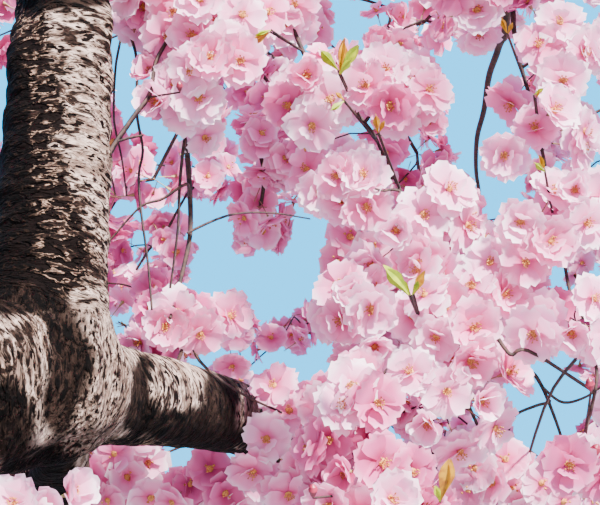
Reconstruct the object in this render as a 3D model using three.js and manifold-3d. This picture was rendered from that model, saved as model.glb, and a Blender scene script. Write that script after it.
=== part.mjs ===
// A semi-weeping cherry in full blossom, in millimetres, +Z up, standing on its flat cut at the origin.
// A bare trunk carries three main limbs. The right limb forks again at the knee, into an upright leader
// and two boughs that run away from it, and every bough ends in its own mass of hanging blossom.
import * as THREE from "three";
import { mergeVertices } from "three/addons/utils/BufferGeometryUtils.js";
import Module from "manifold-3d";

const wasm = await Module();
wasm.setup();

// Trunk: height of its fork, radii above the roots and there, and the flare of the root collar.
const TRUNK = {
  length: 1550,
  azimuth: [150, 30],
  rise: [90, 86],
  radii: [104, 84],
  steps: 6,
  sides: 20,
  rings: 12,
  flare: 0.62,
  flareHeight: 190,
  lobes: 5,
  lobeDepth: 0.22,
};
// The gap between two pieces that meet. The flat faces of a cutter stand out less than its corners do,
// so it is made a little wider than the gap.
const JOINT_GAP = 0.3;
const CUTTER_GROWTH = JOINT_GAP * 1.4;
// The clearance that a twig keeps from wood that isn't its own.
const WOOD_CLEARANCE = 8;
// Faces round a limb, a mass's stem and a twig.
const LIMB_SIDES = 8;
const STEM_SIDES = 4;
const TWIG_SIDES = 3;
// A limb swells where it grips its parent: by this share, fading over this share of its length.
const COLLAR = { swell: 0.16, fade: 0.08 };
// A limb that forks at its end is rounded off there, to this share of its radius.
const KNUCKLE = 0.62;
const FORKS_PAST = 0.94;

// Limbs and boughs, parents first. at: where it leaves its parent, as a share of the parent's length.
// azimuth and rise: its direction where it starts and where it ends, in degrees.
const LIMBS = [
  { name: "limb_right", on: "trunk", at: 0.97, azimuth: [39.7, 39.7], rise: [27, 15],
    length: 700, radii: [64, 56], steps: 4 },
  { name: "limb_left", on: "trunk", at: 0.98, azimuth: [196, 182], rise: [52, 34],
    length: 1100, radii: [56, 26], steps: 6 },
  { name: "limb_front", on: "trunk", at: 0.95, azimuth: [256, 268], rise: [56, 36],
    length: 1020, radii: [50, 24], steps: 6 },
  { name: "leader", on: "limb_right", at: 0.99, azimuth: [205, 215], rise: [91, 66],
    length: 1560, radii: [39, 22], steps: 7 },
  { name: "bough_back_right", on: "limb_right", at: 0.985, azimuth: [56, 102], rise: [13, 5],
    length: 1000, radii: [35, 17], steps: 6 },
  { name: "bough_back", on: "limb_right", at: 0.99, azimuth: [92, 120], rise: [-4, 36],
    length: 900, radii: [25, 14], steps: 5 },
  { name: "bough_right", on: "leader", at: 0.42, azimuth: [-12, 2], rise: [26, 8],
    length: 880, radii: [22, 12], steps: 5 },
  { name: "bough_right_front", on: "bough_right", at: 0.42, azimuth: [-46, -32], rise: [30, 6],
    length: 700, radii: [13, 9], steps: 4 },
  { name: "bough_right_low", on: "bough_back_right", at: 0.42, azimuth: [10, 46], rise: [34, 12],
    length: 760, radii: [17, 10], steps: 4 },
  { name: "bough_back_left", on: "bough_back", at: 0.45, azimuth: [142, 128], rise: [40, 22],
    length: 740, radii: [15, 9], steps: 4 },
  { name: "bough_left_back", on: "limb_left", at: 0.34, azimuth: [128, 150], rise: [44, 24],
    length: 980, radii: [28, 13], steps: 5 },
  { name: "bough_left_front", on: "limb_left", at: 0.52, azimuth: [246, 226], rise: [36, 16],
    length: 800, radii: [22, 11], steps: 4 },
  { name: "bough_front_right", on: "limb_front", at: 0.46, azimuth: [330, 306], rise: [44, 16],
    length: 960, radii: [24, 12], steps: 5 },
  { name: "bough_upper_right", on: "leader", at: 0.66, azimuth: [26, 8], rise: [52, 22],
    length: 760, radii: [17, 10], steps: 4 },
  { name: "bough_upper_back", on: "leader", at: 0.78, azimuth: [88, 104], rise: [50, 24],
    length: 760, radii: [16, 9], steps: 4 },
  { name: "bough_upper_left", on: "limb_left", at: 0.74, azimuth: [138, 150], rise: [76, 46],
    length: 900, radii: [18, 10], steps: 4 },
  { name: "bough_upper_front", on: "limb_front", at: 0.7, azimuth: [340, 316], rise: [78, 50],
    length: 900, radii: [17, 10], steps: 4 },
  { name: "bough_upper_near", on: "limb_left", at: 0.5, azimuth: [280, 252], rise: [80, 58],
    length: 980, radii: [17, 9], steps: 4 },
  { name: "bough_upper_middle", on: "leader", at: 0.6, azimuth: [170, 158], rise: [40, 20],
    length: 720, radii: [18, 10], steps: 4 },
  { name: "spur_outer", on: "bough_right", at: 0.27, azimuth: [-10, 40], rise: [-24, -78],
    length: 200, radii: [8, 6], steps: 3 },
  { name: "spur_inner", on: "leader", at: 0.34, azimuth: [-40, 20], rise: [26, -64],
    length: 205, radii: [9, 6], steps: 3 },
];

// How each kind of mass grows. reach: length of its stem. droop: the rise its stem ends at.
// twigs: how many side twigs it has, and twig: the shortest and longest of them. girth: the radii of the
// stem's end and of a twig. spray: half the length and half the width of a spray of blossom.
const HABITS = {
  skirt: { reach: 1400, droop: -84, twigs: 9, twig: [400, 700], girth: [4, 4.5], spray: [215, 150] },
  dome: { reach: 1100, droop: -60, twigs: 8, twig: [380, 640], girth: [4, 4.5], spray: [215, 155] },
  crest: { reach: 760, droop: 38, twigs: 8, twig: [340, 560], girth: [4, 4.5], spray: [200, 145] },
  hanging: { reach: 700, droop: -88, twigs: 9, twig: [80, 160], girth: [3, 2.5], spray: [56, 40] },
};
// Which habit grows on the tip of which limb.
const MASSES = [
  { name: "blossom_left", on: "limb_left", habit: "skirt", seed: 11 },
  { name: "blossom_front", on: "limb_front", habit: "skirt", seed: 12 },
  { name: "blossom_crest", on: "leader", habit: "crest", seed: 13 },
  { name: "blossom_back_right", on: "bough_back_right", habit: "skirt", seed: 14 },
  { name: "blossom_back", on: "bough_back", habit: "skirt", seed: 15 },
  { name: "blossom_right", on: "bough_right", habit: "skirt", seed: 16 },
  { name: "blossom_right_front", on: "bough_right_front", habit: "skirt", seed: 17 },
  { name: "blossom_right_low", on: "bough_right_low", habit: "skirt", seed: 18 },
  { name: "blossom_back_left", on: "bough_back_left", habit: "skirt", seed: 19 },
  { name: "blossom_left_back", on: "bough_left_back", habit: "skirt", seed: 20 },
  { name: "blossom_left_front", on: "bough_left_front", habit: "skirt", seed: 21 },
  { name: "blossom_front_right", on: "bough_front_right", habit: "skirt", seed: 22 },
  { name: "blossom_upper_right", on: "bough_upper_right", habit: "dome", seed: 23 },
  { name: "blossom_upper_back", on: "bough_upper_back", habit: "dome", seed: 24 },
  { name: "blossom_upper_left", on: "bough_upper_left", habit: "dome", seed: 25 },
  { name: "blossom_upper_front", on: "bough_upper_front", habit: "dome", seed: 26 },
  { name: "blossom_upper_near", on: "bough_upper_near", habit: "dome", seed: 27 },
  { name: "blossom_upper_middle", on: "bough_upper_middle", habit: "dome", seed: 28 },
  { name: "blossom_spur_outer", on: "spur_outer", habit: "hanging", seed: 29 },
  { name: "blossom_spur_inner", on: "spur_inner", habit: "hanging", seed: 30 },
];
// How far a stem's root is sunk into its limb before it is cut to fit the limb's tip, and its radius there
// as a share of the tip's.
const STEM_ROOT = { depth: 12, share: 0.97 };
const STEM_STEPS = 7;
const TWIG_STEPS = 2;
// How far a shoot may turn aside at each step, in degrees.
const WANDER = 16;
// Twigs leave the stem between these shares of its length, each this far round it from the last, by a rise
// that falls from the first to the last, and hang at their ends.
const TWIGS = { from: 0.14, to: 0.94, spread: 0.6, turn: 137.5, turnSpread: 40,
  rise: [30, -6], riseSpread: 16, end: -78, taper: 0.6, least: 0.5 };
// Where sprays sit on the stem and on a twig, as shares of its length, and how much their size varies.
const STEM_SPRAYS = [0.36, 0.58, 0.8, 1];
const TWIG_SPRAYS = [0.55, 1];
const SPRAY_SIZES = [0.84, 1.16];
// A spray that doesn't fit is tried again at these shares of its size.
const SPRAY_TRIES = [1, 0.8, 0.62];
// A spray keeps this far on its own side of the line between two masses.
const MASS_CLEARANCE = 14;
// The lowest that blossom hangs above the ground.
const SKIRT_HEIGHT = 1020;
// The open space under the crown, in front of the knee: a straight passage that rises from eye height.
const OUTLOOK = { start: [172.5, -945, -340], rise: 25, length: 860, nearRadius: 160, farRadius: 250 };

const BARK = new THREE.MeshStandardMaterial({ color: 0x6f5a52, roughness: 0.85, metalness: 0 });
const BLOSSOM = new THREE.MeshStandardMaterial({ color: 0xf3bcd2, roughness: 0.7, metalness: 0 });

const degrees = (a) => (a * Math.PI) / 180;
const mix = (a, b, t) => a + (b - a) * t;

// A seeded stream of numbers from 0 to 1.
function stream(seed) {
  let state = seed >>> 0;
  return () => {
    state = (state + 0x6d2b79f5) >>> 0;
    let t = state;
    t = Math.imul(t ^ (t >>> 15), t | 1);
    t ^= t + Math.imul(t ^ (t >>> 7), t | 61);
    return ((t ^ (t >>> 14)) >>> 0) / 4294967296;
  };
}

function heading(azimuth, rise) {
  const a = degrees(azimuth);
  const r = degrees(rise);
  return new THREE.Vector3(Math.cos(a) * Math.cos(r), Math.sin(a) * Math.cos(r), Math.sin(r));
}

// The line a shoot follows from start: it turns evenly from its first direction to its last.
function route(start, azimuth, rise, length, steps, wander, draw) {
  const points = [start.clone()];
  let drift = 0;
  for (let i = 0; i < steps; i += 1) {
    const t = (i + 0.5) / steps;
    drift += wander ? wander * (draw() - 0.5) : 0;
    const way = heading(mix(azimuth[0], azimuth[1], t) + drift, mix(rise[0], rise[1], t));
    points.push(points[i].clone().addScaledVector(way, length / steps));
  }
  return points;
}

function pointAt(points, share) {
  const place = Math.min(share * (points.length - 1), points.length - 1 - 1e-9);
  const i = Math.floor(place);
  return points[i].clone().lerp(points[i + 1], place - i);
}

function toSegment(p, a, b) {
  const ab = b.clone().sub(a);
  const t = THREE.MathUtils.clamp(p.clone().sub(a).dot(ab) / ab.lengthSq(), 0, 1);
  return { t, distance: p.distanceTo(ab.multiplyScalar(t).add(a)) };
}

function toRoute(p, points) {
  let nearest = Infinity;
  for (let i = 0; i + 1 < points.length; i += 1) {
    nearest = Math.min(nearest, toSegment(p, points[i], points[i + 1]).distance);
  }
  return nearest;
}

// A closed tube along a route. girth gives its radius at a share of the length and an angle round it,
// and extra is how far its two end faces stand out past the route.
function tube(points, girth, sides, rings, extra = 0) {
  const curve = new THREE.CatmullRomCurve3(points, false, "centripetal");
  const frames = curve.computeFrenetFrames(rings, false);
  const shape = new THREE.CylinderGeometry(1, 1, 1, sides, rings);
  const places = shape.getAttribute("position");
  for (let i = 0; i < places.count; i += 1) {
    const t = places.getY(i) + 0.5;
    const ring = Math.round(t * rings);
    const x = places.getX(i);
    const z = places.getZ(i);
    const centre = curve.getPointAt(ring / rings);
    const end = ring === rings ? extra : ring === 0 ? -extra : 0;
    centre.addScaledVector(frames.tangents[ring], end);
    const radius = girth(t, Math.atan2(x, z));
    centre.addScaledVector(frames.binormals[ring], x * radius);
    centre.addScaledVector(frames.normals[ring], z * radius);
    places.setXYZ(i, centre.x, centre.y, centre.z);
  }
  return shape;
}

function solidOf(shape) {
  const bare = shape.clone();
  bare.deleteAttribute("normal");
  bare.deleteAttribute("uv");
  const merged = mergeVertices(bare, 1e-3);
  return new wasm.Manifold(
    new wasm.Mesh({
      numProp: 3,
      vertProperties: new Float32Array(merged.getAttribute("position").array),
      triVerts: new Uint32Array(merged.index.array),
    }),
  );
}

function meshOf(solid, name, material) {
  const made = solid.getMesh();
  const shape = new THREE.BufferGeometry();
  shape.setAttribute("position", new THREE.BufferAttribute(new Float32Array(made.vertProperties), 3));
  shape.setIndex(new THREE.BufferAttribute(new Uint32Array(made.triVerts), 1));
  const mesh = new THREE.Mesh(shape, material);
  mesh.name = name;
  return mesh;
}

function largestPiece(solid) {
  return solid.decompose().sort((a, b) => b.volume() - a.volume())[0];
}

// The share of its radius that a limb that forks at its end keeps, at a share of its length.
function knuckle(t) {
  return t === 1 ? KNUCKLE : 1;
}

// The trunk's radius: an even taper, swollen at the ground into lobes over the main roots.
function trunkGirth(extra) {
  return (t, angle) => {
    const fade = Math.exp((-t * TRUNK.length) / TRUNK.flareHeight);
    const lobe = 1 + TRUNK.lobeDepth * Math.cos(TRUNK.lobes * angle) * fade;
    return mix(TRUNK.radii[0], TRUNK.radii[1], t) * (1 + TRUNK.flare * fade) * lobe * knuckle(t) + extra;
  };
}

// A limb's radius: wider where it grips its parent, then an even taper.
function limbGirth(limb, extra) {
  const forks = LIMBS.some((other) => other.on === limb.name && other.at > FORKS_PAST);
  return (t) => {
    const collar = 1 + COLLAR.swell * Math.exp(-t / COLLAR.fade);
    return mix(limb.radii[0], limb.radii[1], t) * collar * (forks ? knuckle(t) : 1) + extra;
  };
}

const origin = new THREE.Vector3(0, 0, 0);
const routes = { trunk: route(origin, TRUNK.azimuth, TRUNK.rise, TRUNK.length, TRUNK.steps, 0) };
const radii = { trunk: TRUNK.radii };
for (const limb of LIMBS) {
  const start = pointAt(routes[limb.on], limb.at);
  routes[limb.name] = route(start, limb.azimuth, limb.rise, limb.length, limb.steps, 0);
  radii[limb.name] = limb.radii;
}
const knee = pointAt(routes.limb_right, 1);

// The trunk's lowest ring is set level, in the plane of the ground.
function trunkSolid(extra) {
  const shape = tube(routes.trunk, trunkGirth(extra), TRUNK.sides, TRUNK.rings, extra);
  const places = shape.getAttribute("position");
  for (let i = 0; i < places.count; i += 1) {
    if (places.getZ(i) < TRUNK.length / TRUNK.rings / 4) {
      places.setZ(i, 0);
    }
  }
  return solidOf(shape);
}

function limbSolid(limb, extra) {
  return solidOf(tube(routes[limb.name], limbGirth(limb, extra), LIMB_SIDES, limb.steps + 1, extra));
}

// Every limb is cut to fit the limbs that were made before it, so that it meets them with an even gap.
const wood = [{ name: "trunk", solid: trunkSolid(0), wider: trunkSolid(CUTTER_GROWTH) }];
for (const limb of LIMBS) {
  const others = wood.map((w) => w.wider);
  const solid = largestPiece(limbSolid(limb, 0).subtract(wasm.Manifold.union(others)));
  wood.push({ name: limb.name, solid, wider: limbSolid(limb, CUTTER_GROWTH) });
}

// Whether a ball round p is clear of all wood.
function clearOfWood(p, radius) {
  return Object.keys(routes).every((name) => {
    const points = routes[name];
    const last = points.length - 1;
    for (let i = 0; i < last; i += 1) {
      const near = toSegment(p, points[i], points[i + 1]);
      const girth = mix(radii[name][0], radii[name][1], (i + near.t) / last) * (1 + COLLAR.swell);
      if (near.distance < girth + radius + WOOD_CLEARANCE) {
        return false;
      }
    }
    return true;
  });
}

// Whether a ball round p is clear of the open passage in front of the knee.
function clearOfOutlook(p, radius) {
  const off = p.clone().sub(knee).sub(new THREE.Vector3(...OUTLOOK.start));
  const way = heading(90, OUTLOOK.rise);
  const along = off.dot(way);
  if (along < -OUTLOOK.nearRadius || along > OUTLOOK.length) {
    return true;
  }
  const width = mix(OUTLOOK.nearRadius, OUTLOOK.farRadius, Math.max(0, along) / OUTLOOK.length);
  return off.addScaledVector(way, -along).length() > width + radius;
}

const stems = MASSES.map((mass) => {
  const habit = HABITS[mass.habit];
  const draw = stream(mass.seed);
  const limb = LIMBS.find((l) => l.name === mass.on);
  const start = pointAt(routes[mass.on], 1 - STEM_ROOT.depth / limb.length);
  const azimuth = [limb.azimuth[1], limb.azimuth[1]];
  const points = route(start, azimuth, [limb.rise[1], habit.droop], habit.reach, STEM_STEPS, WANDER, draw);
  return { mass, habit, limb, draw, points };
});

// Whether p belongs to this mass, and lies clear of the line to each other mass.
function inOwnSpace(p, own) {
  const mine = toRoute(p, own.points);
  return stems.every((other) => other === own || toRoute(p, other.points) > mine + 2 * MASS_CLEARANCE);
}

// A spray of blossom: eight faces, longest along its shoot.
function sprayAt(p, way, size, roll) {
  const shape = new THREE.OctahedronGeometry(1, 0);
  shape.rotateY(roll);
  shape.scale(size[1], size[0], size[1]);
  shape.applyQuaternion(new THREE.Quaternion().setFromUnitVectors(new THREE.Vector3(0, 1, 0), way));
  shape.translate(p.x, p.y, p.z);
  return shape;
}

function sprayFits(shape, p, size, own) {
  const places = shape.getAttribute("position");
  const corners = [p];
  for (let i = 0; i < places.count; i += 1) {
    corners.push(new THREE.Vector3().fromBufferAttribute(places, i));
  }
  const inside = corners.every((c) => c.z > SKIRT_HEIGHT && inOwnSpace(c, own));
  return inside && clearOfWood(p, size[0]) && clearOfOutlook(p, size[1]);
}

// Side twigs leave the stem in a spiral, rise a little and hang at their ends.
function twigRoutes(stem) {
  const { habit, points, draw } = stem;
  const made = [];
  for (let k = 0; k < habit.twigs; k += 1) {
    const share = mix(TWIGS.from, TWIGS.to, (k + TWIGS.spread * draw()) / habit.twigs);
    const azimuth = TWIGS.turn * k + TWIGS.turnSpread * draw();
    const length = mix(habit.twig[0], habit.twig[1], draw());
    const out = mix(TWIGS.rise[0], TWIGS.rise[1], share) + TWIGS.riseSpread * (draw() - 0.5);
    const start = pointAt(points, share);
    made.push(route(start, [azimuth, azimuth], [out, TWIGS.end], length, TWIG_STEPS, WANDER, draw));
  }
  return made;
}

// The part of a twig that stays in its mass's space, tried at several places along it, or null where
// too little of it does.
function fittingPart(points, own, radius) {
  const steps = points.length - 1;
  const tries = 6 * steps;
  let share = 0;
  for (let i = 1; i <= tries; i += 1) {
    const p = pointAt(points, i / tries);
    const fits = inOwnSpace(p, own) && clearOfWood(p, radius) && clearOfOutlook(p, radius);
    if (!fits || p.z < SKIRT_HEIGHT) {
      break;
    }
    share = i / tries;
  }
  return share < TWIGS.least ? null : points.map((_, k) => pointAt(points, (share * k) / steps));
}

function massSolid(stem) {
  const { habit, limb, points, draw } = stem;
  const taper = (t) => mix(limb.radii[1] * STEM_ROOT.share, habit.girth[0], t);
  const thin = (t) => habit.girth[1] * mix(1, TWIGS.taper, t);
  const parts = [solidOf(tube(points, taper, STEM_SIDES, STEM_STEPS))];
  const addSprays = (line, shares) => {
    for (const share of shares) {
      const p = pointAt(line, share);
      const way = p.clone().sub(pointAt(line, share - 0.1)).normalize();
      const scale = mix(SPRAY_SIZES[0], SPRAY_SIZES[1], draw());
      const roll = degrees(90 * draw());
      for (const share of SPRAY_TRIES) {
        const size = habit.spray.map((s) => s * scale * share);
        const shape = sprayAt(p, way, size, roll);
        if (sprayFits(shape, p, size, stem)) {
          parts.push(solidOf(shape));
          break;
        }
      }
    }
  };
  addSprays(points, STEM_SPRAYS);
  for (const whole of twigRoutes(stem)) {
    const line = fittingPart(whole, stem, habit.girth[1]);
    if (line) {
      parts.push(solidOf(tube(line, thin, TWIG_SIDES, TWIG_STEPS)));
      addSprays(line, TWIG_SPRAYS);
    }
  }
  const own = wood.find((w) => w.name === limb.name);
  return largestPiece(wasm.Manifold.union(parts).subtract(own.wider));
}

const tree = new THREE.Group();
tree.name = "cherry_tree";
for (const w of wood) {
  tree.add(meshOf(w.solid, w.name, BARK));
}
for (const stem of stems) {
  tree.add(meshOf(massSolid(stem), stem.mass.name, BLOSSOM));
}

export default tree;
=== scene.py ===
# A semi-weeping cherry in full blossom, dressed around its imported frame. Metres, +Z up.
# The wood gets its bark, and every mass is grown again by the source's rule, down to the single flower.
import math
import time
import bmesh
import bpy
import numpy as np
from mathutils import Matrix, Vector, noise


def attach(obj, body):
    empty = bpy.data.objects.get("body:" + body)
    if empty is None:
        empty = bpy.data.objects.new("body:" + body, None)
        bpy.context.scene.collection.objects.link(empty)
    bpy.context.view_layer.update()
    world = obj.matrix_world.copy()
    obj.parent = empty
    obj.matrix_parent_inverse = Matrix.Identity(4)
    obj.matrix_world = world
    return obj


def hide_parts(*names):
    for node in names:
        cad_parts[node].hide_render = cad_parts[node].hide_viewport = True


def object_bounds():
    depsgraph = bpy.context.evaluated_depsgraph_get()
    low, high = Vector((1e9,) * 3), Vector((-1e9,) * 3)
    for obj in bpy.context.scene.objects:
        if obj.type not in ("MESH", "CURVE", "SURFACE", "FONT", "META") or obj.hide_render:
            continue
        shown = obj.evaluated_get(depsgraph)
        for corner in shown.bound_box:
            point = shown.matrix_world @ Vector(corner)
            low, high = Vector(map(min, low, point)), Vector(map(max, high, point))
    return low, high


started = time.time()
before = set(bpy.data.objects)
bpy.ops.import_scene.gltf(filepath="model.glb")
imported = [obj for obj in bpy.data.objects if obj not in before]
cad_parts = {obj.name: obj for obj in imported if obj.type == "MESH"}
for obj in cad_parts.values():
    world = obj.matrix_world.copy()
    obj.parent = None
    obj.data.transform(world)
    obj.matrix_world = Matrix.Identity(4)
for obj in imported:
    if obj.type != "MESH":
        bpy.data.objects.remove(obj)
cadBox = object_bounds()


def report(stage):
    print(f"{stage}: {time.time() - started:.0f} s")


report("frame loaded")

# the growth rule

# the trunk and limbs as the source grows them: on is the parent, at the share of its length
trunk = {"length": 1.55, "azimuth": (150, 30), "rise": (90, 86), "radii": (0.104, 0.084), "steps": 6,
         "flare": 0.62, "flareHeight": 0.19, "lobes": 5, "lobeDepth": 0.22}
limbs = {
    "limb_right": {"on": "trunk", "at": 0.97, "azimuth": (39.7, 39.7), "rise": (27, 15),
                   "length": 0.7, "radii": (0.064, 0.056), "steps": 4},
    "limb_left": {"on": "trunk", "at": 0.98, "azimuth": (196, 182), "rise": (52, 34),
                  "length": 1.1, "radii": (0.056, 0.026), "steps": 6},
    "limb_front": {"on": "trunk", "at": 0.95, "azimuth": (256, 268), "rise": (56, 36),
                   "length": 1.02, "radii": (0.05, 0.024), "steps": 6},
    "leader": {"on": "limb_right", "at": 0.99, "azimuth": (205, 215), "rise": (91, 66),
               "length": 1.56, "radii": (0.039, 0.022), "steps": 7},
    "bough_back_right": {"on": "limb_right", "at": 0.985, "azimuth": (56, 102), "rise": (13, 5),
                         "length": 1.0, "radii": (0.035, 0.017), "steps": 6},
    "bough_back": {"on": "limb_right", "at": 0.99, "azimuth": (92, 120), "rise": (-4, 36),
                   "length": 0.9, "radii": (0.025, 0.014), "steps": 5},
    "bough_right": {"on": "leader", "at": 0.42, "azimuth": (-12, 2), "rise": (26, 8),
                    "length": 0.88, "radii": (0.022, 0.012), "steps": 5},
    "bough_right_front": {"on": "bough_right", "at": 0.42, "azimuth": (-46, -32), "rise": (30, 6),
                          "length": 0.7, "radii": (0.013, 0.009), "steps": 4},
    "bough_right_low": {"on": "bough_back_right", "at": 0.42, "azimuth": (10, 46), "rise": (34, 12),
                        "length": 0.76, "radii": (0.017, 0.01), "steps": 4},
    "bough_back_left": {"on": "bough_back", "at": 0.45, "azimuth": (142, 128), "rise": (40, 22),
                        "length": 0.74, "radii": (0.015, 0.009), "steps": 4},
    "bough_left_back": {"on": "limb_left", "at": 0.34, "azimuth": (128, 150), "rise": (44, 24),
                        "length": 0.98, "radii": (0.028, 0.013), "steps": 5},
    "bough_left_front": {"on": "limb_left", "at": 0.52, "azimuth": (246, 226), "rise": (36, 16),
                         "length": 0.8, "radii": (0.022, 0.011), "steps": 4},
    "bough_front_right": {"on": "limb_front", "at": 0.46, "azimuth": (330, 306), "rise": (44, 16),
                          "length": 0.96, "radii": (0.024, 0.012), "steps": 5},
    "bough_upper_right": {"on": "leader", "at": 0.66, "azimuth": (26, 8), "rise": (52, 22),
                          "length": 0.76, "radii": (0.017, 0.01), "steps": 4},
    "bough_upper_back": {"on": "leader", "at": 0.78, "azimuth": (88, 104), "rise": (50, 24),
                         "length": 0.76, "radii": (0.016, 0.009), "steps": 4},
    "bough_upper_left": {"on": "limb_left", "at": 0.74, "azimuth": (138, 150), "rise": (76, 46),
                         "length": 0.9, "radii": (0.018, 0.01), "steps": 4},
    "bough_upper_front": {"on": "limb_front", "at": 0.7, "azimuth": (340, 316), "rise": (78, 50),
                          "length": 0.9, "radii": (0.017, 0.01), "steps": 4},
    "bough_upper_near": {"on": "limb_left", "at": 0.5, "azimuth": (280, 252), "rise": (80, 58),
                         "length": 0.98, "radii": (0.017, 0.009), "steps": 4},
    "bough_upper_middle": {"on": "leader", "at": 0.6, "azimuth": (170, 158), "rise": (40, 20),
                           "length": 0.72, "radii": (0.018, 0.01), "steps": 4},
    "spur_outer": {"on": "bough_right", "at": 0.27, "azimuth": (-10, 40), "rise": (-24, -78),
                   "length": 0.2, "radii": (0.008, 0.006), "steps": 3},
    "spur_inner": {"on": "leader", "at": 0.34, "azimuth": (-40, 20), "rise": (26, -64),
                   "length": 0.205, "radii": (0.009, 0.006), "steps": 3},
}
collar = {"swell": 0.16, "fade": 0.08}
# a mass's stem and twigs: reach and droop are the stem's, girth the radii of its end and of a twig
habits = {
    "skirt": {"reach": 1.4, "droop": -84, "twigs": 9, "twig": (0.4, 0.7), "girth": (0.004, 0.0045)},
    "dome": {"reach": 1.1, "droop": -60, "twigs": 8, "twig": (0.38, 0.64), "girth": (0.004, 0.0045)},
    "crest": {"reach": 0.76, "droop": 38, "twigs": 8, "twig": (0.34, 0.56), "girth": (0.004, 0.0045)},
    "hanging": {"reach": 0.7, "droop": -88, "twigs": 9, "twig": (0.08, 0.16), "girth": (0.003, 0.0025)},
}
masses = {
    "blossom_left": {"on": "limb_left", "habit": "skirt", "seed": 11},
    "blossom_front": {"on": "limb_front", "habit": "skirt", "seed": 12},
    "blossom_crest": {"on": "leader", "habit": "crest", "seed": 13},
    "blossom_back_right": {"on": "bough_back_right", "habit": "skirt", "seed": 14},
    "blossom_back": {"on": "bough_back", "habit": "skirt", "seed": 15},
    "blossom_right": {"on": "bough_right", "habit": "skirt", "seed": 16},
    "blossom_right_front": {"on": "bough_right_front", "habit": "skirt", "seed": 17},
    "blossom_right_low": {"on": "bough_right_low", "habit": "skirt", "seed": 18},
    "blossom_back_left": {"on": "bough_back_left", "habit": "skirt", "seed": 19},
    "blossom_left_back": {"on": "bough_left_back", "habit": "skirt", "seed": 20},
    "blossom_left_front": {"on": "bough_left_front", "habit": "skirt", "seed": 21},
    "blossom_front_right": {"on": "bough_front_right", "habit": "skirt", "seed": 22},
    "blossom_upper_right": {"on": "bough_upper_right", "habit": "dome", "seed": 23},
    "blossom_upper_back": {"on": "bough_upper_back", "habit": "dome", "seed": 24},
    "blossom_upper_left": {"on": "bough_upper_left", "habit": "dome", "seed": 25},
    "blossom_upper_front": {"on": "bough_upper_front", "habit": "dome", "seed": 26},
    "blossom_upper_near": {"on": "bough_upper_near", "habit": "dome", "seed": 27},
    "blossom_upper_middle": {"on": "bough_upper_middle", "habit": "dome", "seed": 28},
    "blossom_spur_outer": {"on": "spur_outer", "habit": "hanging", "seed": 29},
    "blossom_spur_inner": {"on": "spur_inner", "habit": "hanging", "seed": 30},
}
stemRoot = 0.012
stemSteps = 7
twigSteps = 2
wander = 16
# how side twigs leave their stem, and what the source draws for its sprays before them
sideTwigs = {"from": 0.14, "to": 0.94, "spread": 0.6, "turn": 137.5, "turnSpread": 40,
             "rise": (30, -6), "riseSpread": 16, "end": -78, "least": 0.5, "tries": 6}
sprayDraws = 8
woodClearance = 0.008
spaceClearance = 0.028
skirtHeight = 1.02
# the open passage in front of the knee, from the camera's place upwards
outlook = {"start": (0.1725, -0.945, -0.34), "rise": 25, "length": 0.86, "near": 0.16, "far": 0.25}


def stream(seed):
    # the source's own seeded numbers from 0 to 1
    state = [seed]

    def draw():
        state[0] = (state[0] + 0x6D2B79F5) & 0xFFFFFFFF
        t = state[0]
        t = ((t ^ (t >> 15)) * (t | 1)) & 0xFFFFFFFF
        t ^= (t + ((t ^ (t >> 7)) * (t | 61))) & 0xFFFFFFFF
        return (t ^ (t >> 14)) / 4294967296

    return draw


def mix(a, b, t):
    return a + (b - a) * t


def heading(azimuth, rise):
    a = math.radians(azimuth)
    r = math.radians(rise)
    return np.array([math.cos(a) * math.cos(r), math.sin(a) * math.cos(r), math.sin(r)])


def route(start, azimuth, rise, length, steps, turn=0, draw=None):
    points = [np.array(start, float)]
    drift = 0
    for i in range(steps):
        t = (i + 0.5) / steps
        drift += turn * (draw() - 0.5) if turn else 0
        way = heading(mix(*azimuth, t) + drift, mix(*rise, t))
        points.append(points[-1] + way * length / steps)
    return np.array(points)


def pointAt(points, share):
    place = min(share * (len(points) - 1), len(points) - 1 - 1e-9)
    i = int(place)
    return points[i] + (points[i + 1] - points[i]) * (place - i)


def smooth(points, count):
    # the even curve through a route's points, which the source's tubes follow
    ends = np.vstack([2 * points[0] - points[1], points, 2 * points[-1] - points[-2]])
    found = []
    for share in np.linspace(0, 1, count):
        place = min(share * (len(points) - 1), len(points) - 1 - 1e-9)
        i = int(place)
        t = place - i
        a, b, c, d = ends[i:i + 4]
        found.append(b + 0.5 * t * (c - a + t * (2 * a - 5 * b + 4 * c - d + t * (3 * (b - c) + d - a))))
    return np.array(found)


def lengthOf(points):
    return float(np.linalg.norm(np.diff(points, axis=0), axis=1).sum())


def toLine(spots, points):
    # each spot's distance to a line, and the share of the line nearest to it
    best = np.full(len(spots), 1e9)
    share = np.zeros(len(spots))
    last = len(points) - 1
    for i in range(last):
        along = points[i + 1] - points[i]
        t = np.clip(((spots - points[i]) @ along) / (along @ along), 0, 1)
        gap = np.linalg.norm(spots - points[i] - t[:, None] * along, axis=1)
        nearer = gap < best
        best[nearer] = gap[nearer]
        share[nearer] = (i + t[nearer]) / last
    return best, share


woodRoutes = {"trunk": route((0, 0, 0), trunk["azimuth"], trunk["rise"], trunk["length"], trunk["steps"])}
woodRadii = {"trunk": trunk["radii"]}
for name, limb in limbs.items():
    root = pointAt(woodRoutes[limb["on"]], limb["at"])
    woodRoutes[name] = route(root, limb["azimuth"], limb["rise"], limb["length"], limb["steps"])
    woodRadii[name] = limb["radii"]
knee = woodRoutes["limb_right"][-1]

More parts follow.
